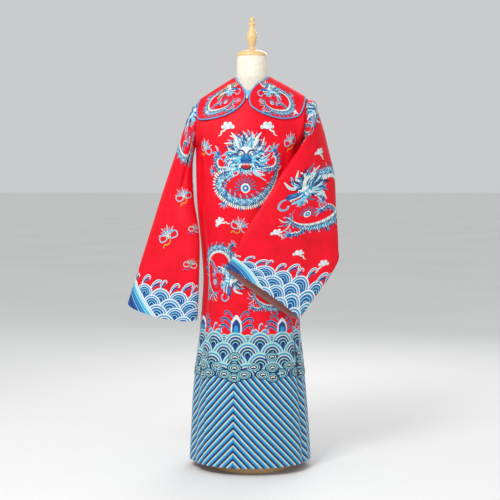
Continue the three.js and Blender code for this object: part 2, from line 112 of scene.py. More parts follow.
# Sleeve rings: how far along, top fold, underarm fold, half depth to the front.
SLEEVE_RIGHT = [
    (0, -203, 0, 1371.2, -211, 0, 1205, 0, -72.3, 0),
    (0.15, -212, 0, 1365, -213, -1, 1198, 0, -72, 0),
    (1, -242, -2, 1303, -219, -6, 1168, -2, -66, 0),
    (2, -281, -4, 1192, -222, -18, 1112, -5, -57, 2),
    (3, -327, -4, 1055, -217, -45, 1010, -12, -46, 2),
    (4, -370, -2, 922, -196, -78, 876, -17, -38, -2),
    (5, -420, -8, 768, -196, -84, 724, -13, -36, -12),
    (6, -465, -24, 619, -203, -78, 566, -7, -33, -22),
]
SLEEVE_LEFT = [
    (0, 203, 0, 1387.8, 187, 0, 1205, 0, -72.3, 0),
    (0.15, 211, 0, 1383.3, 190, 0, 1200, 0, -73, 0),
    (1, 236, -6, 1368, 202, 0, 1188, 2, -78, 6),
    (2, 254, -54, 1262, 198, -26, 1164, -42, -66, 6),
    (3, 224, -128, 1118, 190, -72, 1094, -97, -62, 6),
    (4, 199, -152, 1012, 175, -99, 1000, -124, -58, 27),
    (5, 156, -178, 882, 145, -124, 870, -167, -51, 37),
    (6, 125, -189, 800, 119, -138, 788, -183, -43, 32),
    (7, 46, -209, 681, 31, -160, 655, -131, -22, 94),
]
ARMHOLE_GAP = 1
AROUND_MM, RING_MM = 300, 150  # about how long a turn around and a ring along are, for a crease's width
DEEPEST_CREASE = 0.2  # as a share of the way to the sleeve's middle
# Creases of the sleeves: place around and along from and to, half width in mm, depth.
SLEEVE_CREASES = {
    "right": [
        ((0.36, 0.7), (0.31, 3.6), 10, 7.5),
        ((0.17, 1.4), (0.25, 4.4), 12, 3.3),
        ((0.3, 3.9), (0.36, 5.2), 9, 6.0),
        ((0.1, 3.2), (0.2, 4.9), 14, 2.4),
        ((0.62, 0.8), (0.72, 4.2), 14, 6.0),
        ((0.84, 1.6), (0.86, 5.0), 14, 3.9),
    ],
    "left": [
        ((0.06, 1.3), (0.14, 3.4), 12, 3.3),
        ((-0.12, 2.1), (-0.02, 4.4), 14, 3.0),
        ((0.2, 1.2), (0.24, 3.2), 10, 6.0),
        ((-0.02, 4.2), (-0.16, 6.2), 15, 2.7),
        ((-0.2, 3.0), (-0.19, 5.2), 11, 3.0),
        ((0.45, 1.2), (0.42, 5.4), 15, 6.0),
    ],
}
LINING = 1
LINING_GAP = 0.3

# The cape collar: inner x and angle, outer x and angle, from the right front over the back to the left.
CAPE_RIGHT = [
    (-20, 47, -24, 53),
    (-27, 41, -45, 58),
    (-40, 33, -90, 61),
    (-53, 24, -143, 58),
    (-60, 15, -184, 47),
    (-63, 6, -198, 32),
    (-63, 0, -188, 6),
    (-63, -8, -186, -20),
    (-52, -20, -168, -44),
    (-30, -30, -96, -58),
    (0, -34, 0, -61),
]
CAPE_LEFT = [
    (1, 47, 0, 53),
    (11, 41, 13, 59),
    (28, 33, 62, 63),
    (50, 24, 124, 62),
    (60, 15, 172, 50),
    (63, 6, 191, 32),
    (63, 0, 194, 6),
    (63, -8, 188, -20),
    (52, -20, 168, -44),
    (30, -30, 96, -58),
]
CAPE_CLOTH = 2
CAPE_LIFT = 4.6
PIPING_RADIUS = 2.4
BAND_CLOTH = 1.4
BAND_LIFT = 1
BAND_ANGLE = 6
BAND_CLEAR_ANGLE = 0.6
BAND_CLEAR_SHARE = 1.02
BAND_SPREAD = 0.26
BUTTON_X, BUTTON_ANGLE, BUTTON_RADIUS, BUTTON_HALF, BUTTON_LIFT = -10.8, 50, 4.6, 8, 6.4

# The form: height, half width, depth in front, depth behind. Its rings lie closer above the chest.
CHEST_Z = 1300
TORSO = [
    (740, 150, 106, 112),
    (800, 156, 108, 118),
    (900, 140, 102, 106),
    (1000, 124, 96, 92),
    (1100, 142, 110, 100),
    (1190, 160, 114, 104),
    (1250, 170, 104, 98),
    (1310, 181, 90, 88),
    (1350, 180, 80, 74),
    (1382, 162, 69, 60),
    (1404, 132, 59, 50),
    (1428, 84, 51, 46),
    (1448, 60, 52, 47),
    (1470, 58, 57, 53),
    (1510, 56.5, 56.5, 55),
    (1542, 55.7, 55.7, 55.7),
]
CAP_RADIUS, CAP_HEIGHT, CAP_RIM, CAP_DOME_SHARE = 55.7, 24, 7, 0.86
# The finial: radius and height over the cap.
FINIAL = [
    (14, 0), (14.6, 2.5), (12, 5), (10.3, 9), (10.3, 14), (13, 23), (17, 34), (19.4, 45), (19.2, 55),
    (16, 66), (12, 75), (9.7, 85), (10.2, 90), (12.7, 95), (12.7, 98.5), (9, 102), (7, 105),
    (8.8, 109), (9.2, 113.5), (7.4, 119), (3.6, 122.2),
]
FINIAL_TIP = (0.6, 123)
POLE_RADIUS = 15
BASE_RADIUS, BASE_HEIGHT, BASE_CHAMFER, BASE_EASE = 150, 20, 5, 1.5

QUARTER = math.pi / 2
TURN = 2 * math.pi


def mix(a, b, share):
    return a + (b - a) * share


def smoothstep(value, low, high):
    share = np.clip((value - low) / (high - low), 0, 1)
    return share * share * (3 - 2 * share)


def between(rows, key):
    """Smooth values between rows of numbers whose first entries, the keys, rise."""
    rows = np.asarray(rows, float)
    keys = rows[:, 0]
    last = len(keys) - 1
    key = np.asarray(key, float)
    i = np.clip(np.searchsorted(keys, key, side="left") - 1, 0, last - 1)
    span = (keys[i + 1] - keys[i])[..., None]
    t = np.clip((key - keys[i])[..., None] / span, 0, 1)
    slopes = np.empty_like(rows)
    for k in range(last + 1):
        a, b = max(k - 1, 0), min(k + 1, last)
        slopes[k] = (rows[b] - rows[a]) / (keys[b] - keys[a])
    start, end = slopes[i] * span, slopes[i + 1] * span
    return (
        (2 * t**3 - 3 * t**2 + 1) * rows[i]
        + (t**3 - 2 * t**2 + t) * start
        + (3 * t**2 - 2 * t**3) * rows[i + 1]
        + (t**3 - t**2) * end
    )


def trough(x, y, start, end, width, depth):
    """How deep a soft crease along a line is at a place."""
    ax, ay = start
    dx, dy = end[0] - ax, end[1] - ay
    share = ((x - ax) * dx + (y - ay) * dy) / (dx * dx + dy * dy)
    near = np.clip(share, 0, 1)
    gap = np.hypot(x - ax - near * dx, y - ay - near * dy)
    ends = smoothstep(share, -0.1, 0.25) * (1 - smoothstep(share, 0.7, 1.1))
    return depth * ends * np.exp(-((gap / width) ** 2))


def fold_depth(side, across, z):
    """How far hanging folds and creases pull the body's cloth in."""
    fall = np.clip((UNDERARM_Z - z) / (UNDERARM_Z - HEM_Z), 0, 1)
    fade = smoothstep(UNDERARM_Z + FOLD_FADE - z, 0, FOLD_FADE)
    depth = 0.0
    for where, middle, width, top, hem in FOLDS:
        if where == side:
            depth = depth + mix(top, hem, fall) * np.exp(-(((across - middle) / width) ** 2))
    for where, (u0, z0), (u1, z1), width, deep in CREASES:
        if where == side:
            start, end = (u0 * ACROSS_MM, z0), (u1 * ACROSS_MM, z1)
            depth = depth + trough(across * ACROSS_MM, z, start, end, width, deep)
    return depth * fade


def section(side, z):
    row = between(SECTIONS, z)
    return row[..., 1], row[..., 2], row[..., 3 if side == "front" else 4]


def sign_of(side):
    return -1 if side == "front" else 1


def tube_point(side, across, z):
    """The body below the underarm, by place across from -1 to 1 and height."""
    middle, half, depth = section(side, z)
    sin, cos = np.sin(across * QUARTER), np.abs(np.cos(across * QUARTER))
    fold = fold_depth(side, across, z)
    out = np.hypot(sin * depth, cos * half)
    x = middle + half * sin - fold * sin * depth / out
    y = SEAM + depth * cos**SIDE_ROUNDNESS - fold * cos * half / out
    return np.stack([x, sign_of(side) * y, z + 0 * x], -1)


def ridge_height(across):
    sin = np.sin(across * QUARTER)
    slope = np.where(across < 0, SLOPE_RIGHT, SLOPE_LEFT)
    return PEAK_Z - slope * (np.hypot(ARMHOLE_X * sin, SHOULDER_SOFTNESS) - SHOULDER_SOFTNESS)


def yoke_point(side, across, angle):
    """The yoke, by place across and the angle down it from the shoulder ridge."""
    middle, half, depth = section(side, UNDERARM_Z)
    sin, cos = np.sin(across * QUARTER), np.abs(np.cos(across * QUARTER))
    ridge = ridge_height(across)
    edge = sin**6
    drop, rise = np.sin(angle), np.maximum(np.cos(angle), 0)
    z = UNDERARM_Z + (ridge - UNDERARM_Z) * mix(rise, rise**2, edge)
    fold = fold_depth(side, across, z)
    out = np.hypot(sin * depth, cos * half)
    bulge = ARMHOLE_HALF_DEPTH * np.sin(2 * angle) * edge
    x = mix(ARMHOLE_X * sin, middle + half * sin, drop**2) - fold * sin * depth / out
    swell = depth * cos**SIDE_ROUNDNESS * np.abs(drop) ** YOKE_POWER[side]
    y = SEAM + swell + bulge - fold * cos * half / out
    return np.stack([x, sign_of(side) * y, z], -1)


def body_point(side, across, down):
    """The whole panel: down is 0 at the neck or shoulder, 1 at the underarm and 2 at the hem."""
    share = ARMHOLE_X * np.sin(across * QUARTER) / NECK_HALF_WIDTH
    neck = math.radians(NECK_ANGLE[side]) * np.sqrt(np.maximum(1 - share**2, 0))
    yoke = yoke_point(side, across, mix(neck, QUARTER, np.minimum(down, 1)))
    tube = tube_point(side, across, mix(UNDERARM_Z, HEM_Z, np.maximum(down - 1, 0)))
    return np.where((down < 1)[..., None], yoke, tube)


def sleeve_rings(arm):
    return SLEEVE_RIGHT if arm == "right" else SLEEVE_LEFT


def sleeve_point(arm, around, along):
    """A sleeve, by turns around from its top fold over the front, and rings along."""
    row = between(sleeve_rings(arm), along)
    top, under, front = row[..., 1:4], row[..., 4:7], row[..., 7:10]
    middle = (top + under) / 2
    turn = (around * TURN)[..., None]
    spoke = (top - under) / 2 * np.cos(turn) + front * np.sin(turn)
    length = np.linalg.norm(spoke, axis=-1)
    near = (around + 0.5) % 1 - 0.5
    depth = 0.0
    for start, end, width, deep in SLEEVE_CREASES[arm]:
        for shift in (-1, 0, 1):
            ends = [((place + shift) * AROUND_MM, ring * RING_MM) for place, ring in (start, end)]
            depth = depth + trough(near * AROUND_MM, along * RING_MM, *ends, width, deep)
    spoke = spoke * (1 - np.minimum(depth, DEEPEST_CREASE * length) / length)[..., None]
    point = middle + spoke
    point[..., 0] += ARMHOLE_GAP * (-1 if arm == "right" else 1)
    return point


def cape_point(x, angle):
    across = np.arcsin(np.clip(x / ARMHOLE_X, -1, 1)) / QUARTER
    turned = np.radians(np.abs(angle))
    front = yoke_point("front", across, turned)
    back = yoke_point("back", across, turned)
    return np.where((angle < 0)[..., None], back, front)


CAPE_ROWS = [(i, *row) for i, row in enumerate(CAPE_RIGHT + CAPE_LEFT[::-1])]
CAPE_END = len(CAPE_ROWS) - 1


def cape_surface(round_, outwards):
    row = between(CAPE_ROWS, round_)
    return cape_point(mix(row[..., 1], row[..., 3], outwards), mix(row[..., 2], row[..., 4], outwards))


def unit(vectors):
    return vectors / np.maximum(np.linalg.norm(vectors, axis=-1, keepdims=True), 1e-9)


def outward(surface, u, v, u_range, v_range, heart):
    """The surface's direction away from the heart, a point for each place."""
    step = 1e-3
    du = surface(np.minimum(u + step, u_range[1]), v) - surface(np.maximum(u - step, u_range[0]), v)
    dv = surface(u, np.minimum(v + step, v_range[1])) - surface(u, np.maximum(v - step, v_range[0]))
    out = unit(np.cross(du, dv))
    point = surface(u, v)
    flip = np.sum(out * (point - heart(point, u, v)), -1) < 0
    return np.where(flip[..., None], -out, out)


HEART_Z = 1145


def body_heart(point, u, v):
    """A place inside the body at each point's level, or under the shoulders, that its cloth faces away
    from."""
    heart = np.zeros_like(point)
    heart[..., 2] = np.minimum(point[..., 2], HEART_Z)
    return heart


# ---- Meshes --------------------------------------------------------------------------------------


def piece(name, points, faces, materials, face_materials=None, smooth_angle=50, uv=None):
    """A mesh object from points in millimetres. uv has one pair for each point."""
    mesh = bpy.data.meshes.new(name)
    mesh.from_pydata((np.asarray(points) * MM).tolist(), [], faces)
    for material in materials:
        mesh.materials.append(material)
    if face_materials is not None:
        mesh.polygons.foreach_set("material_index", np.asarray(face_materials, np.int32))
    mesh.polygons.foreach_set("use_smooth", np.ones(len(mesh.polygons), bool))
    if uv is not None:
        layer = mesh.uv_layers.new(name="thread")
        corners = np.empty(len(mesh.loops), np.int32)
        mesh.loops.foreach_get("vertex_index", corners)
        layer.data.foreach_set("uv", (np.asarray(uv)[corners] * MM).ravel())
    mesh.validate()
    mesh.set_sharp_from_angle(angle=math.radians(smooth_angle))
    made = bpy.data.objects.new(name, mesh)
    bpy.context.scene.collection.objects.link(made)
    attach(made, "root")
    return made


def grid_faces(rows, columns, start, turned, closed):
    i = np.arange(rows if closed else rows - 1)[:, None]
    j = np.arange(columns - 1)[None, :]
    a = start + i * columns + j
    b = start + ((i + 1) % rows) * columns + j
    quads = np.stack([a, b, b + 1, a + 1], -1).reshape(-1, 4)
    return quads[:, ::-1] if turned else quads


def shell(name, outer, inner, materials, closed=False):
    """A thin cloth between two grids of points. The first material is outside, the second inside."""
    rows, columns = outer.shape[:2]
    size = rows * columns
    du = outer[1, 1] - outer[0, 1]
    dv = outer[0, 1] - outer[0, 0]
    turned = np.dot(np.cross(du, dv), outer[0, 1] - inner[0, 1]) < 0
    faces = [grid_faces(rows, columns, 0, turned, closed)]
    faces.append(grid_faces(rows, columns, size, not turned, closed))
    slots = [0] * len(faces[0]) + [1] * len(faces[1])
    spans = np.arange(rows if closed else rows - 1)
    following = (spans + 1) % rows
    rims = []
    for j, flip in ((0, turned), (columns - 1, not turned)):
        a, b = spans * columns + j, following * columns + j
        quads = np.stack([a, b, b + size, a + size], -1)
        rims.append(quads if flip else quads[:, ::-1])
    if not closed:
        columns_span = np.arange(columns - 1)
        for i, flip in ((0, not turned), (rows - 1, turned)):
            a = i * columns + columns_span
            quads = np.stack([a, a + 1, a + 1 + size, a + size], -1)
            rims.append(quads if flip else quads[:, ::-1])
    for quads in rims:
        faces.append(quads)
        slots += [0] * len(quads)
    points = np.concatenate([outer.reshape(-1, 3), inner.reshape(-1, 3)])
    return piece(name, points, np.concatenate(faces).tolist(), materials, slots)


def cloth_shell(name, surface, us, vs, heart, materials, thickness=CLOTH, lift=0.0, closed=False):
    u, v = np.meshgrid(us, vs, indexing="ij")
    u_range = (-9, 9) if closed else (us[0], us[-1])
    out = outward(surface, u, v, u_range, (vs[0], vs[-1]), heart)
    base = surface(u, v)
    return shell(name, base + out * lift, base + out * (lift - thickness), materials, closed)


def lengths_along(path):
    """How far along a path each of its points lies."""
    return np.concatenate([[0], np.cumsum(np.linalg.norm(np.diff(path, axis=0), axis=1))])


def cord_ring(name, path, ups, radius, sides, material):
    """A cord along a closed path, whose cross-section stands on the given upward directions."""
    count = len(path)
    ahead = unit(np.roll(path, -1, 0) - np.roll(path, 1, 0))
    across = unit(np.cross(ahead, ups))
    up = np.cross(across, ahead)
    turn = np.linspace(0, TURN, sides, endpoint=False)
    ring = across[:, None] * np.cos(turn)[None, :, None] + up[:, None] * np.sin(turn)[None, :, None]
    points = (path[:, None] + ring * radius).reshape(-1, 3)
    faces = []
    for i in range(count):
        here, beyond = i * sides, (i + 1) % count * sides
        for k in range(sides):
            following = (k + 1) % sides
            faces.append((here + k, here + following, beyond + following, beyond + k))
    lengths = lengths_along(path)
    uv = np.stack(np.broadcast_arrays(lengths[:, None], turn[None] * radius), -1).reshape(-1, 2)
    return piece(name, points, faces, [material], uv=uv)


def turned_piece(name, profile, material, sides=96):
    """A piece closed at its ends on the axis, from pairs of radius and height, or from half width, depth in
    front, depth behind and height."""
    turn = np.linspace(0, TURN, sides, endpoint=False)
    rings = []
    for row in profile:
        half, z = row[0], row[-1]
        front, back = (half, half) if len(row) == 2 else row[1:3]
        depth = np.where(np.sin(turn) < 0, front, back)
        rings.append(np.stack([half * np.cos(turn), depth * np.sin(turn), z + 0 * turn], -1))
    points = np.concatenate([*rings, [(0, 0, profile[0][-1])], [(0, 0, profile[-1][-1])]])
    count = len(rings)
    faces = []
    last = (count - 1) * sides
    for k in range(sides):
        following = (k + 1) % sides
        for i in range(0, last, sides):
            faces.append((i + k, i + following, i + following + sides, i + k + sides))
        faces.append((following, k, count * sides))
        faces.append((last + k, last + following, count * sides + 1))
    return piece(name, points, faces, [material], smooth_angle=40)


# ---- Materials -----------------------------------------------------------------------------------


def linear(hex_colour):
    """An sRGB hex colour as linear red, green, blue and alpha."""
    channels = [int(hex_colour[i : i + 2], 16) / 255 for i in (1, 3, 5)]
    return tuple(c / 12.92 if c <= 0.04045 else ((c + 0.055) / 1.055) ** 2.4 for c in channels) + (1.0,)


def add(tree, kind, settings=(), inputs=()):
    """Adds a node with its settings. An input is a value, or another node's output to link from. The
    setting "stops" lists a ramp's places and colours."""
    node = tree.nodes.new(kind)
    for key, value in dict(settings).items():
        if key != "stops":
            setattr(node, key, value)
            continue
        elements = node.color_ramp.elements
        while len(elements) < len(value):
            elements.new(0.5)
        for element, (place, colour) in zip(elements, value):
            element.position = place
            element.color = linear(colour)
    for key, value in dict(inputs).items():
        if isinstance(value, bpy.types.NodeSocket):
            tree.links.new(value, node.inputs[key])
        else:
            node.inputs[key].default_value = value
    return node


def new_material(name, shader_inputs):
    material = bpy.data.materials.new(name)
    material.use_nodes = True
    tree = material.node_tree
    tree.nodes.clear()
    shader = add(tree, "ShaderNodeBsdfPrincipled", {}, shader_inputs)
    output = add(tree, "ShaderNodeOutputMaterial")
    tree.links.new(shader.outputs[0], output.inputs[0])
    return material, tree, shader


def straight_bands(direction, profile="SIN"):
    """A wave texture's settings for straight bands across a direction."""
    return {"wave_type": "BANDS", "bands_direction": direction, "wave_profile": profile}


def wave_scale(spacing):
    """A wave texture's scale for bands this many millimetres apart."""
    return TURN / (20 * spacing * MM)


def dye(tree, shader, fine, share, slow, stops):
    """Colours a shader by a fine pattern, weakened to a share, on top of a slow one."""
    inputs = {0: fine, 1: share, 2: slow}
    both = add(tree, "ShaderNodeMath", {"operation": "MULTIPLY_ADD"}, inputs)
    ramp = add(tree, "ShaderNodeValToRGB", {"stops": stops}, {"Fac": both.outputs[0]})
    tree.links.new(ramp.outputs["Color"], shader.inputs["Base Color"])


def raise_relief(tree, shader, height, strength, depth):
    """Gives a shader the small relief of a pattern, with its depth in millimetres."""
    inputs = {"Strength": strength, "Distance": depth * MM, "Height": height}
    relief = add(tree, "ShaderNodeBump", {}, inputs)
    tree.links.new(relief.outputs["Normal"], shader.inputs["Normal"])


def woven(name, light, thread_shade, warp, weft, roughness, sheen, bump, patch=60, gloss=0.5):
    """Woven cloth: warp and weft are the drawn thread spacings in millimetres, coarser than life. Its dark
    colour is painted shade between the threads and its light colour the threads in the light, over a slow
    random change of tone.
    """
    finish = {"Roughness": roughness, "Specular IOR Level": gloss}
    finish |= {"Sheen Weight": sheen, "Sheen Roughness": 0.4}
    material, tree, shader = new_material(name, finish)
    place = add(tree, "ShaderNodeTexCoord").outputs["Object"]
    inputs = {"Vector": place, "Scale": 1 / (patch * MM), "Detail": 3.0}
    slow = add(tree, "ShaderNodeTexNoise", {}, inputs).outputs["Fac"]
    waves = []
    for direction, spacing in (("Z", warp), ("X", weft)):
        inputs = {"Vector": place, "Scale": wave_scale(spacing), "Distortion": 0.6}
        inputs |= {"Detail": 1.0, "Detail Scale": 2.0}
        waves.append(add(tree, "ShaderNodeTexWave", straight_bands(direction), inputs).outputs["Fac"])
    weave = add(tree, "ShaderNodeMath", {"operation": "MULTIPLY"}, dict(enumerate(waves))).outputs[0]
    # Painted thread shade: the fine weave runs from the shaded colour between threads to the lit colour on
    # them.
    dye(tree, shader, weave, 0.35, slow, [(0.25, thread_shade), (0.8, light)])
    raise_relief(tree, shader, weave, bump, 0.4)
    return material


FLOSS_SPACING = 0.9  # millimetres between drawn threads; real ones lie about 0.4 apart
FLOSS_PATCH = 5  # millimetres from a lighter patch to the next


def silk_floss(name, colour, shade):
    """Satin-stitched silk floss: its close parallel threads, drawn coarser than life, give it a soft gloss
    and fine stripes of light and shade."""
    finish = {"Roughness": 0.4, "Specular IOR Level": 0.35, "Sheen Weight": 0.1, "Sheen Roughness": 0.35}
    material, tree, shader = new_material("silk_floss_" + name, finish)
    place = add(tree, "ShaderNodeUVMap", {"uv_map": "thread"}).outputs["UV"]
    inputs = {"Vector": place, "Scale": wave_scale(FLOSS_SPACING), "Distortion": 1.2, "Detail": 2.0}
    strands = add(tree, "ShaderNodeTexWave", straight_bands("X"), inputs).outputs["Fac"]
    inputs = {"Vector": place, "Scale": 1 / (FLOSS_PATCH * MM), "Detail": 2.0}
    patches = add(tree, "ShaderNodeTexNoise", {}, inputs).outputs["Fac"]
    dye(tree, shader, strands, 0.5, patches, [(0.3, shade), (0.85, colour)])
    raise_relief(tree, shader, strands, 0.5, 0.3)
    return material


GRAIN = 7  # millimetres between the beech's rings of growth


def beech():
    """Lacquered beech: pale, with short brown flecks along the grain and a soft gloss."""
    finish = {"Roughness": 0.38, "Coat Weight": 0.25, "Coat Roughness": 0.2}
    material, tree, shader = new_material("lacquered_beech", finish)
    place = add(tree, "ShaderNodeTexCoord").outputs["Object"]
    drawn_out = {"Vector": place, "Scale": (1.0, 1.0, 0.12)}
    long = add(tree, "ShaderNodeMapping", {}, drawn_out).outputs[0]
    inputs = {"Vector": long, "Scale": wave_scale(GRAIN), "Distortion": 5.0, "Detail": 3.0}
    rings = add(tree, "ShaderNodeTexWave", straight_bands("X", "SAW"), inputs).outputs["Fac"]
    inputs = {"Vector": long, "Scale": 900.0, "Detail": 3.0}
    flecks = add(tree, "ShaderNodeTexNoise", {}, inputs).outputs["Fac"]
    dye(tree, shader, rings, 0.5, flecks, [(0.3, "#d9a866"), (0.7, "#e8c184"), (1.0, "#efd09a")])
    raise_relief(tree, shader, flecks, 0.15, 0.2)
    return material


def brushed_steel():
    """Brushed steel tube: fine lines along its length blur its reflections sideways."""
    finish = {"Metallic": 1.0, "Base Color": linear("#b8bbbf")}
    material, tree, shader = new_material("brushed_steel", finish)
    place = add(tree, "ShaderNodeTexCoord").outputs["Object"]
    drawn_out = {"Vector": place, "Scale": (1.0, 1.0, 0.02)}
    long = add(tree, "ShaderNodeMapping", {}, drawn_out).outputs[0]
    lines = add(tree, "ShaderNodeTexNoise", {}, {"Vector": long, "Scale": 1500.0, "Detail": 2.0})
    rough = add(tree, "ShaderNodeMapRange", {}, {"Value": lines.outputs["Fac"], 3: 0.25, 4: 0.42})
    tree.links.new(rough.outputs[0], shader.inputs["Roughness"])
    return material


SATIN = (1.5, 2.4, 0.5, 0.02, 0.35)  # warp, weft, roughness, sheen and relief of the red satin
# Red satin: long floats of silk give a clear soft gloss, and the weave shows as a fine rib, in relief and in
# painted shade between its threads. The cape is cut from a slightly deeper length of it.
RED_SATIN = woven("red_silk_satin", "#f40c28", "#d8081e", *SATIN, gloss=0.17)
CAPE_SATIN = woven("red_silk_satin_cape", "#f20c28", "#d6081e", *SATIN, gloss=0.17)
# Brushed cotton lining: matt and plain woven.
LINING_COTTON = woven("brushed_cotton_lining", "#b27a72", "#96605a", 1.8, 1.8, 0.92, 0.2, 0.5)
# Light blue satin of the neck band: a finer rib and a brighter sheen than the robe's.
BAND_SATIN = woven("sky_blue_satin", "#8ccbe8", "#5f9fc9", 1.3, 1.9, 0.45, 0.3, 0.35)
# Blue cord of the piping and silver cord of the knot: close silk threads with a soft gloss.
PIPING_SATIN = silk_floss("piping_blue", "#4fb0e4", "#2f8cc6")
KNOT_CORD = silk_floss("knot_cord_silver", "#e2e4e2", "#a9b0b4")
# Linen over the form: a matt, coarse plain weave with slubs.
LINEN = woven("natural_linen", "#fdf6e8", "#ece0c8", 1.4, 1.4, 0.88, 0.15, 0.7, patch=9)
BEECH = beech()
STEEL = brushed_steel()

# Embroidery floss: each thread's colour in the light and in the shade.
THREADS = {
    name: silk_floss(name, colour, shade)
    for name, colour, shade in [
        ("navy", "#141c4a", "#070a20"),
        ("deep_blue", "#1a4390", "#0e2760"),
        ("blue", "#2068b2", "#144684"),
        ("cyan", "#2ba0d2", "#157aae"),
        ("sky", "#86d6ec", "#4caccc"),
        ("aqua", "#b6dfda", "#84bcba"),
        ("white", "#f1f5f3", "#bccacc"),
        ("cream", "#efe8cc", "#c9bd93"),
        ("gold", "#e0a63c", "#9a6416"),
        ("lilac", "#a9a6cc", "#76749f"),
        ("scarlet", "#c61024", "#8e0a18"),
    ]
}

# ---- Embroidery ----------------------------------------------------------------------------------

STITCH_HEIGHT = 0.9
SUNK = -0.25  # the stitches' edges dip this far into the cloth
LAID = 0.2  # where runs lie side by side, their edges stay this far above the cloth
BLUNT = 0.35  # how high a run's ends are, as a share of its height
# Across a run: places from edge to edge, and which of them is its crown.
CROSS = np.array([-1, 0, 1])
CROWN = np.array([0, 1, 0])
FULL_WIDTH = 2.4  # millimetres; a narrower run is lower as well
# A filled shape's rings: their size as a share of its outline's, and their height as a share of its own.
PATCH_RINGS = np.array([1, 0.82, 0.02])
PATCH_LIFTS = np.array([0.85, 1])
AIM_ROUNDS, AIM_STEP = 12, 60  # how often a place is improved, and by how many millimetres at most
NUDGE = 0.5  # millimetres to each side, to find the way that the cloth faces


def smooth_curve(points, count=24):
    """A smooth curve through given points."""
    rows = [(i, *point) for i, point in enumerate(points)]
    return between(rows, np.linspace(0, len(points) - 1, count))[:, 1:]


def heading(degrees):
    """A step of one, this many degrees anticlockwise from rightwards."""
    turn = math.radians(degrees)
    return np.array([math.cos(turn), math.sin(turn)])


def turned(points, degrees):
    c, s = heading(degrees)
    return np.asarray(points) @ np.array([[c, s], [-s, c]])


def scaled(points, size, flip=1):
    """Points given in shares of a motif's size, mirrored where flip is -1."""
    return np.array(points) * (flip * size, size)


def arc(x, z, radius, start, end, count=18, squash=1.0):
    turn = np.radians(np.linspace(start, end, count))
    return np.stack([x + radius * np.cos(turn), z + radius * squash * np.sin(turn)], -1)


def oval(x, z, width, height, count=20, turn=0.0):
    angle = np.linspace(0, TURN, count, endpoint=False)
    ring = np.stack([width / 2 * np.cos(angle), height / 2 * np.sin(angle)], -1)
    return turned(ring, turn) + (x, z)


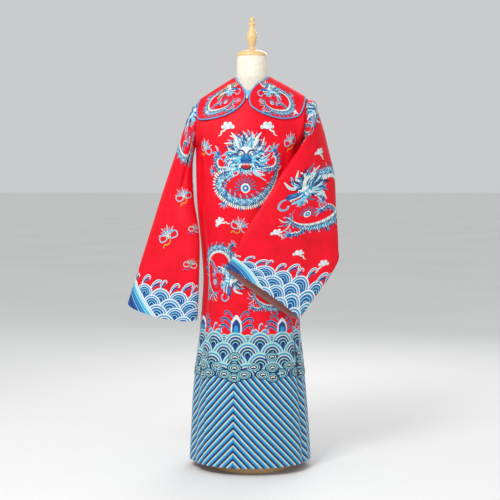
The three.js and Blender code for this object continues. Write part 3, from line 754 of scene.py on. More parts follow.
class Stitching:
    """Raised silk stitching on one piece of cloth. Designs are drawn in millimetres, rightwards and up, on
    the flat cloth, and are laid on it at the end."""

    def __init__(self, name, lay, low, high):
        self.name = name
        self.lay = lay
        self.low, self.high = low, high
        self.points, self.uvs, self.faces, self.slots = [], [], [], []
        self.threads = []
        self.count = 0
        self.place()

    def place(self, x=0.0, z=0.0, turn=0.0, mirror=False, axes=None):
        """Where on the cloth the next shapes go: their origin and turn, and the cloth's axes there."""
        c, s = heading(turn)
        flip = -1 if mirror else 1
        matrix = np.array([[c * flip, -s], [s * flip, c]])
        self.matrix = matrix if axes is None else axes @ matrix
        self.origin = np.array([x, z], float)

    def aim(self, x, z, near, turn=0.0, mirror=False):
        """Places shapes where the cloth has this x and height, upright as seen from the front or back.
        near is a place on the cloth to start from."""
        spot = np.array(near, float)
        for _ in range(AIM_ROUNDS):
            probes = spot + np.array([[0, 0], [1, 0], [0, 1]])
            seen = self.lay(probes[:, 0], probes[:, 1])[:, [0, 2]]
            slopes = np.stack([seen[1] - seen[0], seen[2] - seen[0]], -1)
            change = np.linalg.solve(slopes, np.array([x, z]) - seen[0])
            spot = spot + np.clip(change, -AIM_STEP, AIM_STEP)
        left, _, right = np.linalg.svd(np.linalg.inv(slopes))
        facing = np.sign(np.linalg.det(slopes))
        self.place(*spot, turn, mirror, left @ right @ np.diag([facing, 1]))

    def _keep(self, flat, heights, uv, faces, thread):
        placed = flat @ self.matrix.T + self.origin
        if placed[:, 0].max() < self.low[0] or placed[:, 0].min() > self.high[0]:
            return
        if placed[:, 1].max() < self.low[1] or placed[:, 1].min() > self.high[1]:
            return
        if thread not in self.threads:
            self.threads.append(thread)
        self.points.append(np.column_stack([placed, heights]))
        self.uvs.append(uv)
        self.faces.append(faces + self.count)
        self.slots += [self.threads.index(thread)] * len(faces)
        self.count += len(flat)

    def ribbon(self, path, width, thread, height=STITCH_HEIGHT, base=0.0, edge=SUNK):
        """A run of satin stitch along a path. width is one width or one for each point, and edge is how high
        its edges lie."""
        path = np.asarray(path, float)
        half = np.broadcast_to(np.asarray(width, float) / 2, (len(path),))
        ahead = unit(np.gradient(path, axis=0))
        sideways = np.stack([-ahead[:, 1], ahead[:, 0]], -1)
        flat = path[:, None] + sideways[:, None] * half[:, None, None] * CROSS[None, :, None]
        ends = np.ones(len(path))
        ends[[0, -1]] = BLUNT
        crown = ends[:, None] * CROWN[None] * np.minimum(1, half * 2 / FULL_WIDTH)[:, None]
        heights = base + edge * (1 - CROWN[None]) + crown * height
        lengths = lengths_along(path)
        uv = np.stack(np.broadcast_arrays(lengths[:, None], half[:, None] * CROSS[None]), -1)
        faces = grid_faces(len(path), len(CROSS), 0, True, False)
        self._keep(flat.reshape(-1, 2), heights.ravel(), uv.reshape(-1, 2), faces, thread)

    def patch(self, outline, thread, height=STITCH_HEIGHT, base=0.0):
        """A filled shape, from an outline that its middle can see all of."""
        outline = np.asarray(outline, float)
        middle = outline.mean(0)
        count = len(outline)
        flat = (middle + (outline - middle)[None] * PATCH_RINGS[:, None, None]).reshape(-1, 2)
        heights = np.repeat(np.array([SUNK, *PATCH_LIFTS * height]) + base, count)
        k = np.arange(count)
        ring = np.stack([k, (k + 1) % count, (k + 1) % count + count, k + count], -1)
        faces = np.concatenate([ring + inwards * count for inwards in range(len(PATCH_RINGS) - 1)])
        self._keep(flat, heights, flat, faces, thread)

    def done(self):
        """Cuts the design at the cloth's edges, lays it on the cloth and makes the piece."""
        flat = np.concatenate(self.points)
        uvs = np.concatenate(self.uvs)
        mesh = bpy.data.meshes.new(self.name)
        mesh.from_pydata(flat.tolist(), [], np.concatenate(self.faces).tolist())
        mesh.polygons.foreach_set("material_index", np.asarray(self.slots, np.int32))
        layer = mesh.uv_layers.new(name="thread")
        corners = np.empty(len(mesh.loops), np.int32)
        mesh.loops.foreach_get("vertex_index", corners)
        layer.data.foreach_set("uv", (uvs[corners] * MM).ravel())
        work = bmesh.new()
        work.from_mesh(mesh)
        for corner, way in ((self.low, 1), (self.high, -1)):
            for point, normal in (((corner[0], 0, 0), (way, 0, 0)), ((0, corner[1], 0), (0, way, 0))):
                cut = {"dist": 1e-4, "plane_co": point, "plane_no": normal, "clear_inner": True}
                bmesh.ops.bisect_plane(work, geom=work.verts[:] + work.edges[:] + work.faces[:], **cut)
        for face in work.faces:
            face.normal_update()
            if face.normal.z < 0:
                face.normal_flip()
        work.to_mesh(mesh)
        work.free()
        flat = np.empty(len(mesh.vertices) * 3)
        mesh.vertices.foreach_get("co", flat)
        a, b, height = flat.reshape(-1, 3).T
        across = self.lay(a + NUDGE, b) - self.lay(a - NUDGE, b)
        upwards = self.lay(a, b + NUDGE) - self.lay(a, b - NUDGE)
        out = unit(np.cross(across, upwards))
        placed = self.lay(a, b) + out * height[:, None]
        mesh.vertices.foreach_set("co", (placed * MM).ravel())
        for thread in self.threads:
            mesh.materials.append(THREADS[thread])
        mesh.polygons.foreach_set("use_smooth", np.ones(len(mesh.polygons), bool))
        mesh.update()
        made = bpy.data.objects.new(self.name, mesh)
        bpy.context.scene.collection.objects.link(made)
        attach(made, "root")
        return made


# ---- Where designs lie on each piece of cloth ------------------------------------------------------

PANEL_MM = 300  # from the middle of a body panel to its side seam, on the flat cloth
PANEL_LEVEL = 600.0  # the height whose section spaces a design across a panel


def panel_arcs(side):
    """Places across a panel, and their share of the way round from its middle to its side seam."""
    sample = np.linspace(0, 1, 200)
    _, half, depth = section(side, np.array(PANEL_LEVEL))
    turn = sample * QUARTER
    lengths = lengths_along(np.stack([half * np.sin(turn), depth * np.cos(turn) ** SIDE_ROUNDNESS], -1))
    return sample, lengths / lengths[-1]


def body_lay(side, step_in=False):
    """Lays a design on a body panel: rightwards as seen from outside, and height."""
    sample, shares = panel_arcs(side)
    towards = 1 if side == "front" else -1

    def lay(a, z):
        share = np.clip(np.abs(a) / PANEL_MM, 0, 1)
        across = np.sign(a) * towards * np.interp(share, shares, sample)
        tube = tube_point(side, across, np.minimum(z, UNDERARM_Z))
        ridge = ridge_height(across)
        level = np.clip((z - UNDERARM_Z) / (ridge - UNDERARM_Z), 0, 0.999)
        edge = np.sin(across * QUARTER) ** 6
        straight = 1 - edge
        rise = (-straight + np.sqrt(straight**2 + 4 * edge * level)) / np.maximum(2 * edge, 1e-6)
        rise = np.where(edge < 1e-4, level, rise)
        yoke = yoke_point(side, across, np.arccos(np.clip(rise, 0, 1)))
        point = np.where((z > UNDERARM_Z)[..., None], yoke, tube)
        if step_in:
            slip = UNDERLAP_STEP * smoothstep(across, UNDERLAP_STEP_FROM, UNDERLAP_STEP_TO)
            point = point - slip[..., None] * unit(point - body_heart(point, a, z))
        return point

    return lay


def sleeve_lay(arm):
    """Lays a design on a sleeve: around from the fold that shows in front, and up from the cuff."""
    last = sleeve_rings(arm)[-1][0]
    rows = np.linspace(0, last, 120)
    turns = np.linspace(-0.5, 0.5, 241)
    fold = len(turns) // 2
    start, way = (0.0, 1) if arm == "right" else (0.25, -1)
    s, t = np.meshgrid(rows, turns, indexing="ij")
    points = sleeve_point(arm, start + way * t, s)
    lengths = np.linalg.norm(np.diff(points, axis=1), axis=-1)
    around = np.concatenate([np.zeros((len(rows), 1)), np.cumsum(lengths, axis=1)], 1)
    around -= around[:, fold : fold + 1]
    up = lengths_along(points.mean(1))
    up = up[-1] - up

    def lay(a, b):
        along = np.interp(-np.minimum(b, up[0]), -up, rows)
        place = along / last * (len(rows) - 1)
        i = np.clip(place.astype(int), 0, len(rows) - 2)
        share = place - i
        low = np.array([np.interp(x, around[k], turns) for x, k in zip(a, i)])
        high = np.array([np.interp(x, around[k + 1], turns) for x, k in zip(a, i)])
        turn = mix(low, high, share)
        return sleeve_point(arm, start + way * turn, along)

    return lay


CAPE_REACH = 250  # millimetres of cape for a quarter turn down the yoke


def cape_lay(side):
    """Lays a design on the cape: rightwards as seen from outside, and down along the yoke from its ridge."""
    towards = 1 if side == "front" else -1

    def surface(x, angle):
        return cape_point(x, angle * towards)

    def lay(a, b):
        x = a * towards
        angle = -b / CAPE_REACH * 90
        out = outward(surface, x, angle, (-ARMHOLE_X, ARMHOLE_X), (-90, 90), body_heart)
        return surface(x, angle) + out * (CAPE_LIFT + CAPE_CLOTH)

    return lay


# ---- Motifs --------------------------------------------------------------------------------------

OVERLAID = 1.03  # how much wider than its band a wave's run is, so that no cloth shows between two
SCROLL_SIZE = (60, 37)  # a cloud scroll's width and height
# Bands of a wave from its rim inwards: where each ends, as a share of its radius, and its thread.
WAVE_BANDS = [
    (0.86, "aqua"),
    (0.73, "cyan"),
    (0.65, "cream"),
    (0.5, "deep_blue"),
    (0.42, "aqua"),
    (0.28, "navy"),
    (0.2, "sky"),
    (0.0, "navy"),
]
CUFF_BANDS = [
    (0.89, "white"),
    (0.76, "cyan"),
    (0.68, "white"),
    (0.52, "blue"),
    (0.44, "sky"),
    (0.29, "deep_blue"),
    (0.21, "sky"),
    (0.0, "deep_blue"),
]


def wave(work, x, z, radius, bands, base=0.0, steps=18):
    """A scale-shaped wave: nested arcs of satin stitch."""
    outer = 1.0
    for inner, thread in bands:
        path = arc(x, z, (outer + inner) / 2 * radius, 0, 180, steps)
        work.ribbon(path, (outer - inner) * radius * OVERLAID, thread, 0.5, base, LAID)
        outer = inner


def curl(work, path, width, threads, base=0.0):
    """A wave crest or flame that tapers to a hooked tip, with a second thread along it."""
    path = smooth_curve(path, 11)
    taper = width * np.sin(np.linspace(0.25, 0.97, len(path)) * math.pi) ** 0.7
    work.ribbon(path, taper, threads[0], 0.9, base)
    work.ribbon(path[1:-1], 0.34 * taper[1:-1], threads[1], 0.5, base + 0.75)


def crest(work, x, z, height, turn, mirror=False):
    """A small breaking crest over a wave's rim, with a darker one inside it."""
    flip = -1 if mirror else 1
    shape = [(0, 0), (0.1, 0.4), (0.3, 0.75), (0.62, 0.92), (0.82, 0.74), (0.7, 0.58)]
    shape = turned(scaled(shape, height, flip), turn)
    curl(work, shape + (x, z), height * 0.3, ("white", "cyan"))
    curl(work, shape * 0.62 + (x + flip * height * 0.14, z), height * 0.24, ("blue", "navy"))


def spiral(work, x, z, reach, rise, flip):
    """A wave arm that rises outwards and curls in on itself."""
    path = [(0, 0), (0.3, 0.5), (0.6, 0.85), (0.95, 0.9), (1.08, 0.6), (0.9, 0.42), (0.76, 0.58)]
    curl(work, np.array(path) * (flip * reach, rise) + (x, z), reach * 0.26, ("cyan", "navy"))


def mountain(work, x, z, width, height):
    """A peak over the waves, with spiral waves breaking at each side."""
    for flip in (-1, 1):
        for lift, reach in ((0.05, 1.0), (0.42, 1.05), (0.8, 0.8)):
            start = x + flip * width * 0.45 * (1 - 0.4 * lift)
            spiral(work, start, z + height * lift, width * reach, height * 0.42, flip)
    outline = [(-0.5, 0), (-0.5, 0.55), (-0.36, 0.74), (0, 1), (0.36, 0.74), (0.5, 0.55), (0.5, 0), (0, 0)]
    for share, thread, base in ((1.0, "white", 0.2), (0.8, "deep_blue", 0.5), (0.45, "cyan", 0.8)):
        shape = np.array(outline) * (width * share, height * share) + (x, z)
        work.patch(smooth_curve(shape, 28), thread, 0.6, base)


def scroll_eye(work, x, z, base):
    """A cloud scroll seen as nested ovals with a dark split centre."""
    width, height = SCROLL_SIZE
    bands = ((1, "navy"), (0.95, "sky"), (0.78, "navy"), (0.66, "aqua"), (0.5, "navy"))
    for order, (share, thread) in enumerate(bands):
        work.patch(oval(x, z, width * share, height * share), thread, 0.4, base + 0.08 * order)
    sliver = arc(x, z - height * 0.1, width * 0.13, 20, 160, 8, 0.7)
    work.ribbon(sliver, width * 0.07, "white", 0.3, base + 1.0)


CLOUD = [
    (-0.1, -0.2), (-0.36, -0.12), (-0.6, -0.2), (-0.76, 0.02), (-0.62, 0.24), (-0.44, 0.22),
    (-0.42, 0.46), (-0.14, 0.58), (0.06, 0.44), (0.26, 0.6), (0.52, 0.44), (0.48, 0.22), (0.72, 0.2),
    (0.78, -0.04), (0.56, -0.18), (0.34, -0.1), (0.16, -0.22), (-0.1, -0.2),
]


def cloud(work, size, tail=1):
    """A lobed cloud with a drifting tail, worked in silver white with thin scroll lines."""
    drift = [(0.2, 0.0), (0.4, -0.34), (0.74, -0.46), (0.8, -0.74), (1.16, -0.94)]
    curl(work, scaled(drift, size, tail), size * 0.24, ("white", "aqua"))
    work.patch(smooth_curve(scaled(CLOUD, size, tail), 44)[:-1], "white", 0.9, 0.1)
    for x, z, start in ((-0.42, 0.02, 40), (0.02, 0.22, -60), (0.44, 0.04, -140)):
        for radius, thread in ((0.19, "lilac"), (0.09, "aqua")):
            scroll = arc(x * size * tail, z * size, radius * size, start, start + 280, 12)
            work.ribbon(scroll, size * 0.05, thread, 0.3, 1.0)


def treasure(work, size, threads=("sky", "gold", "white")):
    """A lucky knot of looped ribbon with rays above it."""
    first, second, third = threads
    for k, angle in enumerate(range(20, 161, 20)):
        long, thread = (0.62, third) if k % 2 else (0.5, first)
        ray = [heading(angle) * size * long * share for share in (0.3, 0.65, 1.0)]
        curl(work, ray, size * 0.1, (thread, "blue"))
    loop = [(0, 0), (0.3, 0.18), (0.56, 0.06), (0.5, -0.2), (0.2, -0.2), (0.02, -0.04)]
    for flip in (-1, 1):
        work.ribbon(smooth_curve(scaled(loop, size, flip), 22), size * 0.085, first)
    tail = [(0, -0.05), (0.06, -0.3), (-0.12, -0.45), (-0.34, -0.4), (-0.46, -0.55)]
    work.ribbon(smooth_curve(scaled(tail, size), 18), size * 0.09, second)
    work.patch(oval(0, 0, size * 0.32, size * 0.32, 14), third, 0.9, 0.2)
    for turn in range(0, 360, 60):
        bead = oval(*heading(turn) * 0.1 * size, size * 0.09, size * 0.09, 8)
        work.patch(bead, second if turn % 120 else "blue", 0.5, 1.0)


def pearl(work, x, z, radius):
    """A flaming pearl: nested rounds under a fan of flames."""
    for angle in range(-10, 191, 20):
        tip = heading(angle)
        side = np.array([-tip[1], tip[0]]) * 0.15
        reach, thread = (2.7, "navy") if angle % 40 else (2.1, "blue")
        path = np.array([tip * 1.05, tip * 1.6 + side, tip * reach]) * radius + (x, z)
        curl(work, path, radius * 0.4, (thread, "cyan"))
    layers = ((1.0, "white", 0.1), (0.86, "sky", 0.3), (0.66, "blue", 0.5), (0.3, "white", 0.7))
    for share, thread, base in layers:
        work.patch(oval(x, z, 2 * radius * share, 2 * radius * share, 18), thread, 0.7, base)


SCALE_THREADS = ("white", "sky", "cyan", "sky")
SCALE_ROWS = (-0.34, -0.15, 0.04)  # how far across a body each row of scales lies, as a share of its width


def scaled_body(work, path, widths, belly=1, spacing=6.5):
    """A dragon's body: rows of scales on a dark ground, a fin of spines and a pale plated belly."""
    path = np.asarray(path, float)
    lengths = lengths_along(path)
    count = max(int(lengths[-1] / spacing), 6)
    at = np.linspace(0, lengths[-1], count)
    line = np.stack([np.interp(at, lengths, path[:, 0]), np.interp(at, lengths, path[:, 1])], -1)
    width = np.interp(at, lengths, np.broadcast_to(widths, (len(path),)))
    ahead = unit(np.gradient(line, axis=0))
    sideways = np.stack([-ahead[:, 1], ahead[:, 0]], -1) * belly
    reach = sideways * width[:, None]
    facing = np.degrees(np.arctan2(ahead[:, 1], ahead[:, 0]))
    work.ribbon(line, width, "deep_blue", 0.9, 0.0)
    edge = line - reach * 0.5
    for i in range(1, count - 1, 2):
        spine = [edge[i], edge[i] - reach[i] * 0.2 - ahead[i] * 2, edge[i] - reach[i] * 0.34 - ahead[i] * 6]
        curl(work, spine, spacing * 0.8, ("navy" if i % 4 == 1 else "sky", "blue"))
    work.ribbon(edge + reach * 0.05, width * 0.07, "navy", 0.4, 0.9)
    for i in range(count - 1):
        for row, offset in enumerate(SCALE_ROWS):
            middle = line[i] + reach[i] * offset - ahead[i] * (spacing * 0.5 * (row % 2))
            radius = min(width[i] * 0.13, spacing * 0.64)
            rim = arc(*middle, radius, facing[i] + 95, facing[i] + 265, 6)
            work.ribbon(rim, radius * 0.85, SCALE_THREADS[(i + 2 * row) % 4], 0.5, 0.8)
        plate = oval(*line[i] + reach[i] * 0.35, spacing * 0.95, width[i] * 0.4, 10, facing[i])
        work.patch(plate, "aqua" if i % 3 == 0 else "white", 0.6, 0.6)
    work.ribbon(line + reach * 0.15, width * 0.05, "navy", 0.4, 1.2)


def claw(work, x, z, size, turn, flip=1):
    """A leg's foot with spread talons."""

    def put(points):
        return turned(scaled(points, size, flip), turn) + (x, z)

    pad = [(-0.16, -0.2), (0.18, -0.22), (0.3, 0.05), (0.05, 0.24), (-0.24, 0.1)]
    work.patch(put(pad), "blue", 0.9, 0.2)
    for angle in (-35, 5, 45, 85, 150):
        tip = heading(angle)
        side = np.array([-tip[1], tip[0]])
        talon = [tip * 0.1, tip * 0.5 + side * 0.1, tip * 0.85]
        curl(work, put(talon), size * 0.24, ("sky" if angle % 2 else "white", "cyan"))


DARK_LOCKS = [
    ("white", "sky"), ("navy", "deep_blue"), ("sky", "blue"), ("cyan", "navy"), ("white", "aqua"),
]
PALE_LOCKS = [
    ("white", "sky"), ("sky", "cyan"), ("white", "blue"), ("aqua", "cyan"), ("cyan", "deep_blue"),
]
GOLD_LOCKS = [
    ("gold", "cream"), ("navy", "blue"), ("gold", "white"), ("cream", "gold"), ("scarlet", "gold"),
]
HANK = (1.0, 0.8, 0.92, 0.74)  # lengths of neighbouring locks


def mane(work, x, z, start, end, count, near, far, threads=DARK_LOCKS, base=0.0, thick=0.12):
    """Locks of mane that fan out like flames."""
    for k, angle in enumerate(np.linspace(start, end, count)):
        tip = heading(angle)
        reach = near + (far - near) * HANK[k % 4]
        bend = np.array([-tip[1], tip[0]]) * 0.13 * reach * (1 if k % 2 else -1)
        path = [tip * near, tip * mix(near, reach, 0.5) + bend, tip * reach - bend * 0.4]
        curl(work, np.array(path) + (x, z), far * thick, threads[k % len(threads)], base)


def rounds(work, size, rows, flip=1):
    """Oval patches, in shares of a motif's size: place, width, height, points, thread, thickness, base
    and, where it has one, turn."""
    for x, z, width, height, count, thread, thick, base, *turn in rows:
        outline = oval(flip * x * size, z * size, width * size, height * size, count, *turn)
        work.patch(outline, thread, thick, base)


def plates(work, size, rows):
    """Patches from outlines in shares of a motif's size, with thread, thickness and base."""
    for outline, thread, thick, base in rows:
        work.patch(scaled(outline, size), thread, thick, base)


# The face's skull, forehead and snout ridge, then what it has on each side: cheek, jowl, eye, nostril.
FACE_ROUNDS = [
    (0, 0.02, 0.86, 0.84, 26, "cyan", 0.8, 0.9),
    (0, 0.34, 0.64, 0.34, 20, "white", 0.8, 1.3),
    (0, 0.06, 0.14, 0.2, 12, "cyan", 0.5, 2.5),
]
FACE_SIDE_ROUNDS = [
    (0.34, -0.06, 0.24, 0.34, 14, "sky", 0.6, 1.3),
    (0.24, -0.34, 0.26, 0.2, 14, "white", 0.6, 1.3),
    (0.23, 0.16, 0.22, 0.15, 14, "gold", 0.6, 1.5),
    (0.23, 0.16, 0.19, 0.12, 14, "white", 0.6, 1.7),
    (0.2, 0.14, 0.09, 0.1, 10, "navy", 0.5, 2.1),
    (0.15, -0.12, 0.1, 0.07, 10, "navy", 0.4, 2.5),
]
NOSE = [
    (-0.08, 0.22), (0.08, 0.22), (0.16, 0.04), (0.32, -0.06), (0.2, -0.22), (-0.2, -0.22),
    (-0.32, -0.06), (-0.16, 0.04),
]
MOUTH = [(-0.24, -0.26), (0, -0.2), (0.24, -0.26), (0.16, -0.46), (-0.16, -0.46)]


def dragon_face(work, size):
    """A dragon's head seen from the front, in layers: a crown of upright locks, a ruff of cheek locks and
    beard, then brows, eyes, a broad snout and the open mouth."""
    up = 0.1 * size
    mane(work, 0, up, 20, 160, 27, size * 0.42, size * 1.18)
    mane(work, 0, up, 30, 150, 17, size * 0.36, size * 0.84, PALE_LOCKS, 0.5)
    for flip in (-1, 1):
        out = 90 - flip * 90
        low, high = out - flip * 44, out + flip * 14
        mane(work, 0, 0, low, high, 10, size * 0.38, size * 1.16, PALE_LOCKS, 0.2, 0.15)
        low, high = out - flip * 40, out + flip * 16
        mane(work, 0, 0, low, high, 8, size * 0.32, size * 0.82, DARK_LOCKS, 0.8, 0.15)
    mane(work, 0, 0, 222, 318, 13, size * 0.32, size * 0.82, PALE_LOCKS, 0.3, 0.15)
    mane(work, 0, 0, 228, 312, 9, size * 0.3, size * 0.62, DARK_LOCKS, 0.8, 0.15)
    rounds(work, size, FACE_ROUNDS)
    for flip in (-1, 1):
        horn = scaled([(0.3, 0.42), (0.44, 0.7), (0.5, 0.9), (0.7, 1.14)], size, flip)
        curl(work, horn, size * 0.15, ("white", "cream"), 1.2)
        whisker = scaled([(0.24, -0.5), (0.4, -0.72), (0.66, -0.84), (0.92, -1.0)], size, flip)
        work.ribbon(smooth_curve(whisker, 20), size * 0.055, "sky", 0.8, 0.3)
        brow = scaled([(0.06, 0.2), (0.16, 0.32), (0.32, 0.34), (0.44, 0.22)], size, flip)
        curl(work, brow, size * 0.1, ("navy", "deep_blue"), 1.9)
        rounds(work, size, FACE_SIDE_ROUNDS, flip)
    plates(work, size, [(NOSE, "blue", 0.9, 1.7), (MOUTH, "scarlet", 0.6, 1.9)])
    for k in range(-3, 4):
        tooth = [(k * 0.065 - 0.03, -0.25), (k * 0.065 + 0.03, -0.25), (k * 0.065, -0.35)]
        work.patch(scaled(tooth, size), "white", 0.5, 2.3)
    work.ribbon(arc(0, -size * 0.24, size * 0.26, 200, 340, 14), size * 0.07, "navy", 0.6, 2.0)


RING = [
    (-0.4, 0.0), (-0.62, -0.06), (-0.8, -0.2), (-0.84, -0.42), (-0.64, -0.64), (-0.4, -0.8),
    (-0.14, -0.87), (0.16, -0.86), (0.46, -0.72), (0.7, -0.46), (0.86, -0.18), (0.94, 0.06),
]


def dragon_roundel(work, size):
    """A coiled dragon that faces forwards, with its pearl below. size is half its width."""
    body = smooth_curve(RING, 64) * size
    widths = np.interp(np.linspace(0, 1, 64), [0, 0.15, 0.7, 1], [0.26, 0.34, 0.3, 0.07]) * size
    scaled_body(work, body, widths, belly=-1, spacing=size * 0.055)
    mane(work, 0.92 * size, 0.04 * size, 40, 130, 5, 0, size * 0.22)
    for flip, leg in (
        (-1, [(0.5, 0.08), (0.8, 0.08), (0.9, 0.3), (0.8, 0.44)]),
        (1, [(0.5, 0.06), (0.86, 0.12), (0.94, 0.36), (0.86, 0.5)]),
    ):
        path = scaled(leg, size, flip)
        scaled_body(work, smooth_curve(path, 16), size * 0.15, belly=flip, spacing=size * 0.06)
        claw(work, *path[-1] + (0, 0.08 * size), size * 0.28, 90, flip)
    for px, pz, turn in ((-0.66, -0.86, 220), (0.6, -0.9, -50), (-0.98, 0.02, 150)):
        claw(work, px * size, pz * size, size * 0.2, turn)
    for angle in (205, 232, 262, 290, 318):
        tip = heading(angle) * size
        curl(work, [tip * 0.98, tip * 1.08 + (3, 2), tip * 1.1], size * 0.09, ("navy", "blue"))
    axes, start = work.matrix, work.origin
    work.place(*start + axes @ (0.02 * size, 0.38 * size), axes=axes)
    dragon_face(work, size * 0.62)
    work.place(*start, axes=axes)
    pearl(work, 0, -0.45 * size, size * 0.14)


# The head in profile: skull, forehead, three gills, the snout's bridge, nostril and eye.
HEAD_ROUNDS = [
    (-0.08, 0.04, 0.8, 0.66, 20, "cyan", 0.8, 2.0),
    (-0.06, 0.24, 0.56, 0.26, 16, "white", 0.6, 2.5, 8),
    (-0.3, -0.06, 0.14, 0.34, 12, "white", 0.5, 2.5, -12),
    (-0.2, -0.06, 0.14, 0.34, 12, "sky", 0.5, 2.5, -12),
    (-0.1, -0.06, 0.14, 0.34, 12, "white", 0.5, 2.5, -12),
    (0.44, 0.2, 0.3, 0.1, 12, "cyan", 0.5, 3.1, 12),
    (0.72, 0.28, 0.12, 0.1, 10, "navy", 0.4, 3.1),
    (0.13, 0.24, 0.24, 0.17, 14, "white", 0.5, 2.9),
    (0.16, 0.23, 0.1, 0.1, 10, "navy", 0.4, 3.3),
]
SNOUT = [(0.1, 0.28), (0.4, 0.28), (0.66, 0.4), (0.84, 0.24), (0.7, 0.04), (0.36, -0.02), (0.04, 0.02)]
GUMS = [(0.1, 0.02), (0.66, 0.04), (0.5, -0.16), (0.1, -0.18)]
JAW = [(-0.1, -0.1), (0.3, -0.16), (0.6, -0.12), (0.7, -0.22), (0.3, -0.36), (-0.1, -0.3)]
WHISKER = [(0.78, 0.2), (1.02, 0.2), (1.2, 0.0), (1.14, -0.26), (0.92, -0.34), (0.8, -0.2)]


def dragon_head(work, x, z, size, turn, locks):
    """A dragon's head from the side, looking right, with a swept mane and a curling whisker."""
    axes, start = work.matrix, work.origin
    work.place(*start + axes @ (x, z), turn=turn, axes=axes)
    mane(work, -0.16 * size, 0.1 * size, 56, 232, 21, size * 0.3, size * 1.3, locks, 1.5)
    mane(work, -0.1 * size, 0.06 * size, 70, 250, 14, size * 0.26, size * 0.86, DARK_LOCKS, 2.0)
    rounds(work, size, HEAD_ROUNDS)
    plates(work, size, [(SNOUT, "blue", 0.9, 2.3), (GUMS, "scarlet", 0.5, 2.1), (JAW, "sky", 0.8, 2.3)])
    lip = smooth_curve(scaled([(0.06, 0.02), (0.36, -0.02), (0.7, 0.06)], size), 10)
    work.ribbon(lip, size * 0.06, "white", 0.5, 3.1)
    for k in range(4):
        tooth = [(0.24 + k * 0.12, 0.02), (0.32 + k * 0.12, 0.02), (0.27 + k * 0.12, -0.09)]
        work.patch(scaled(tooth, size), "white", 0.4, 2.8)
    brow = scaled([(0.0, 0.32), (0.14, 0.44), (0.32, 0.4)], size)
    curl(work, brow, size * 0.12, ("navy", "blue"), 3.2)
    for rise in (0.0, 0.16):
        horn = scaled([(-0.1, 0.34), (-0.26 - rise, 0.62), (-0.54 - rise, 0.8 - rise)], size)
        curl(work, horn, size * 0.13, ("white", "cream"), 2.7)
    whisker = smooth_curve(scaled(WHISKER, size), 24)
    work.ribbon(whisker, size * 0.09, "sky", 0.9, 0.5)
    work.ribbon(whisker[2:-2], size * 0.03, "cyan", 0.5, 1.3)
    mane(work, 0.2 * size, -0.2 * size, 240, 320, 7, size * 0.1, size * 0.44, PALE_LOCKS, 0.7, 0.22)
    work.place(*start, axes=axes)


COIL = [
    (0.44, 0.2), (0.26, 0.54), (-0.08, 0.76), (-0.5, 0.76), (-0.83, 0.46), (-0.92, 0.0),
    (-0.76, -0.46), (-0.38, -0.74), (0.1, -0.84), (0.5, -0.76), (0.78, -0.56),
]
# Its legs from body to foot, and which way each foot points.
LEGS = [
    ([(-0.1, 0.56), (0.06, 0.24), (-0.12, 0.02)], -100),
    ([(-0.62, -0.36), (-0.34, -0.2), (-0.1, -0.34)], -20),
    ([(-0.5, 0.66), (-0.76, 0.86), (-0.8, 1.02)], 80),
    ([(0.2, -0.8), (0.42, -1.02), (0.7, -1.04)], 0),
]


def dragon_side(work, size, locks=DARK_LOCKS):
    """A dragon in profile that coils round its pearl, looking right. size is half its width."""
    widths = np.interp(np.linspace(0, 1, 64), [0, 0.12, 0.7, 1], [0.24, 0.36, 0.32, 0.08]) * size
    scaled_body(work, smooth_curve(COIL, 64) * size, widths, spacing=size * 0.06)
    mane(work, 0.72 * size, -0.6 * size, -60, 90, 9, 0, size * 0.4)
    for points, turn in LEGS:
        leg = smooth_curve(scaled(points, size), 12)
        scaled_body(work, leg, size * 0.14, spacing=size * 0.06)
        claw(work, *leg[-1], size * 0.25, turn)
    for angle in (118, 150, 182, 214, 246):
        tip = heading(angle) * size
        curl(work, [tip * 0.98, tip * 1.12 + (2, 4), tip * 1.16], size * 0.1, ("navy", "cyan"))
    pearl(work, 0.3 * size, -0.4 * size, size * 0.11)
    dragon_head(work, 0.54 * size, 0.28 * size, 0.62 * size, -28, locks)


# ---- Embroidered regions ---------------------------------------------------------------------------

# A stripe of the standing water, from its upper edge: width across it and thread.
STRIPE = [(2.6, "cream"), (3.2, "sky"), (4.6, "cyan"), (3.2, "blue"), (5.0, "navy")]
STRIPE_ANGLE = math.radians(49)
STRIPE_SLOPE = math.tan(STRIPE_ANGLE)
STRIPE_PITCH = sum(width for width, _ in STRIPE) / math.cos(STRIPE_ANGLE)
STRIPE_STEP = 7.5  # millimetres across between a stripe's points
STRIPES_TOP = 376
GROUND_LEVELS = range(372, 500, 22)  # rows of dark ground under the waves
WAVE_RADIUS = 48
WAVE_TOPS = (526, 489, 452, 415)
PEAK = {"front": -57, "back": 0}  # the middle of the hem's pattern on each panel
PEAK_PITCH, SCROLL_PITCH = 96, 71  # from one peak and one stack of cloud scrolls to the next
# The cloud scrolls between waves and stripes: each one's place in its stack, and how high it lies, so
# that no two that overlap lie at one height.
SCROLL_STACKS = (
    ((0, 435, 1.3), (0, 395, 1.75), (0, 360, 2.2)),
    ((0, 399, 1.3), (-34, 372, 2.65), (34, 372, 2.65)),
)


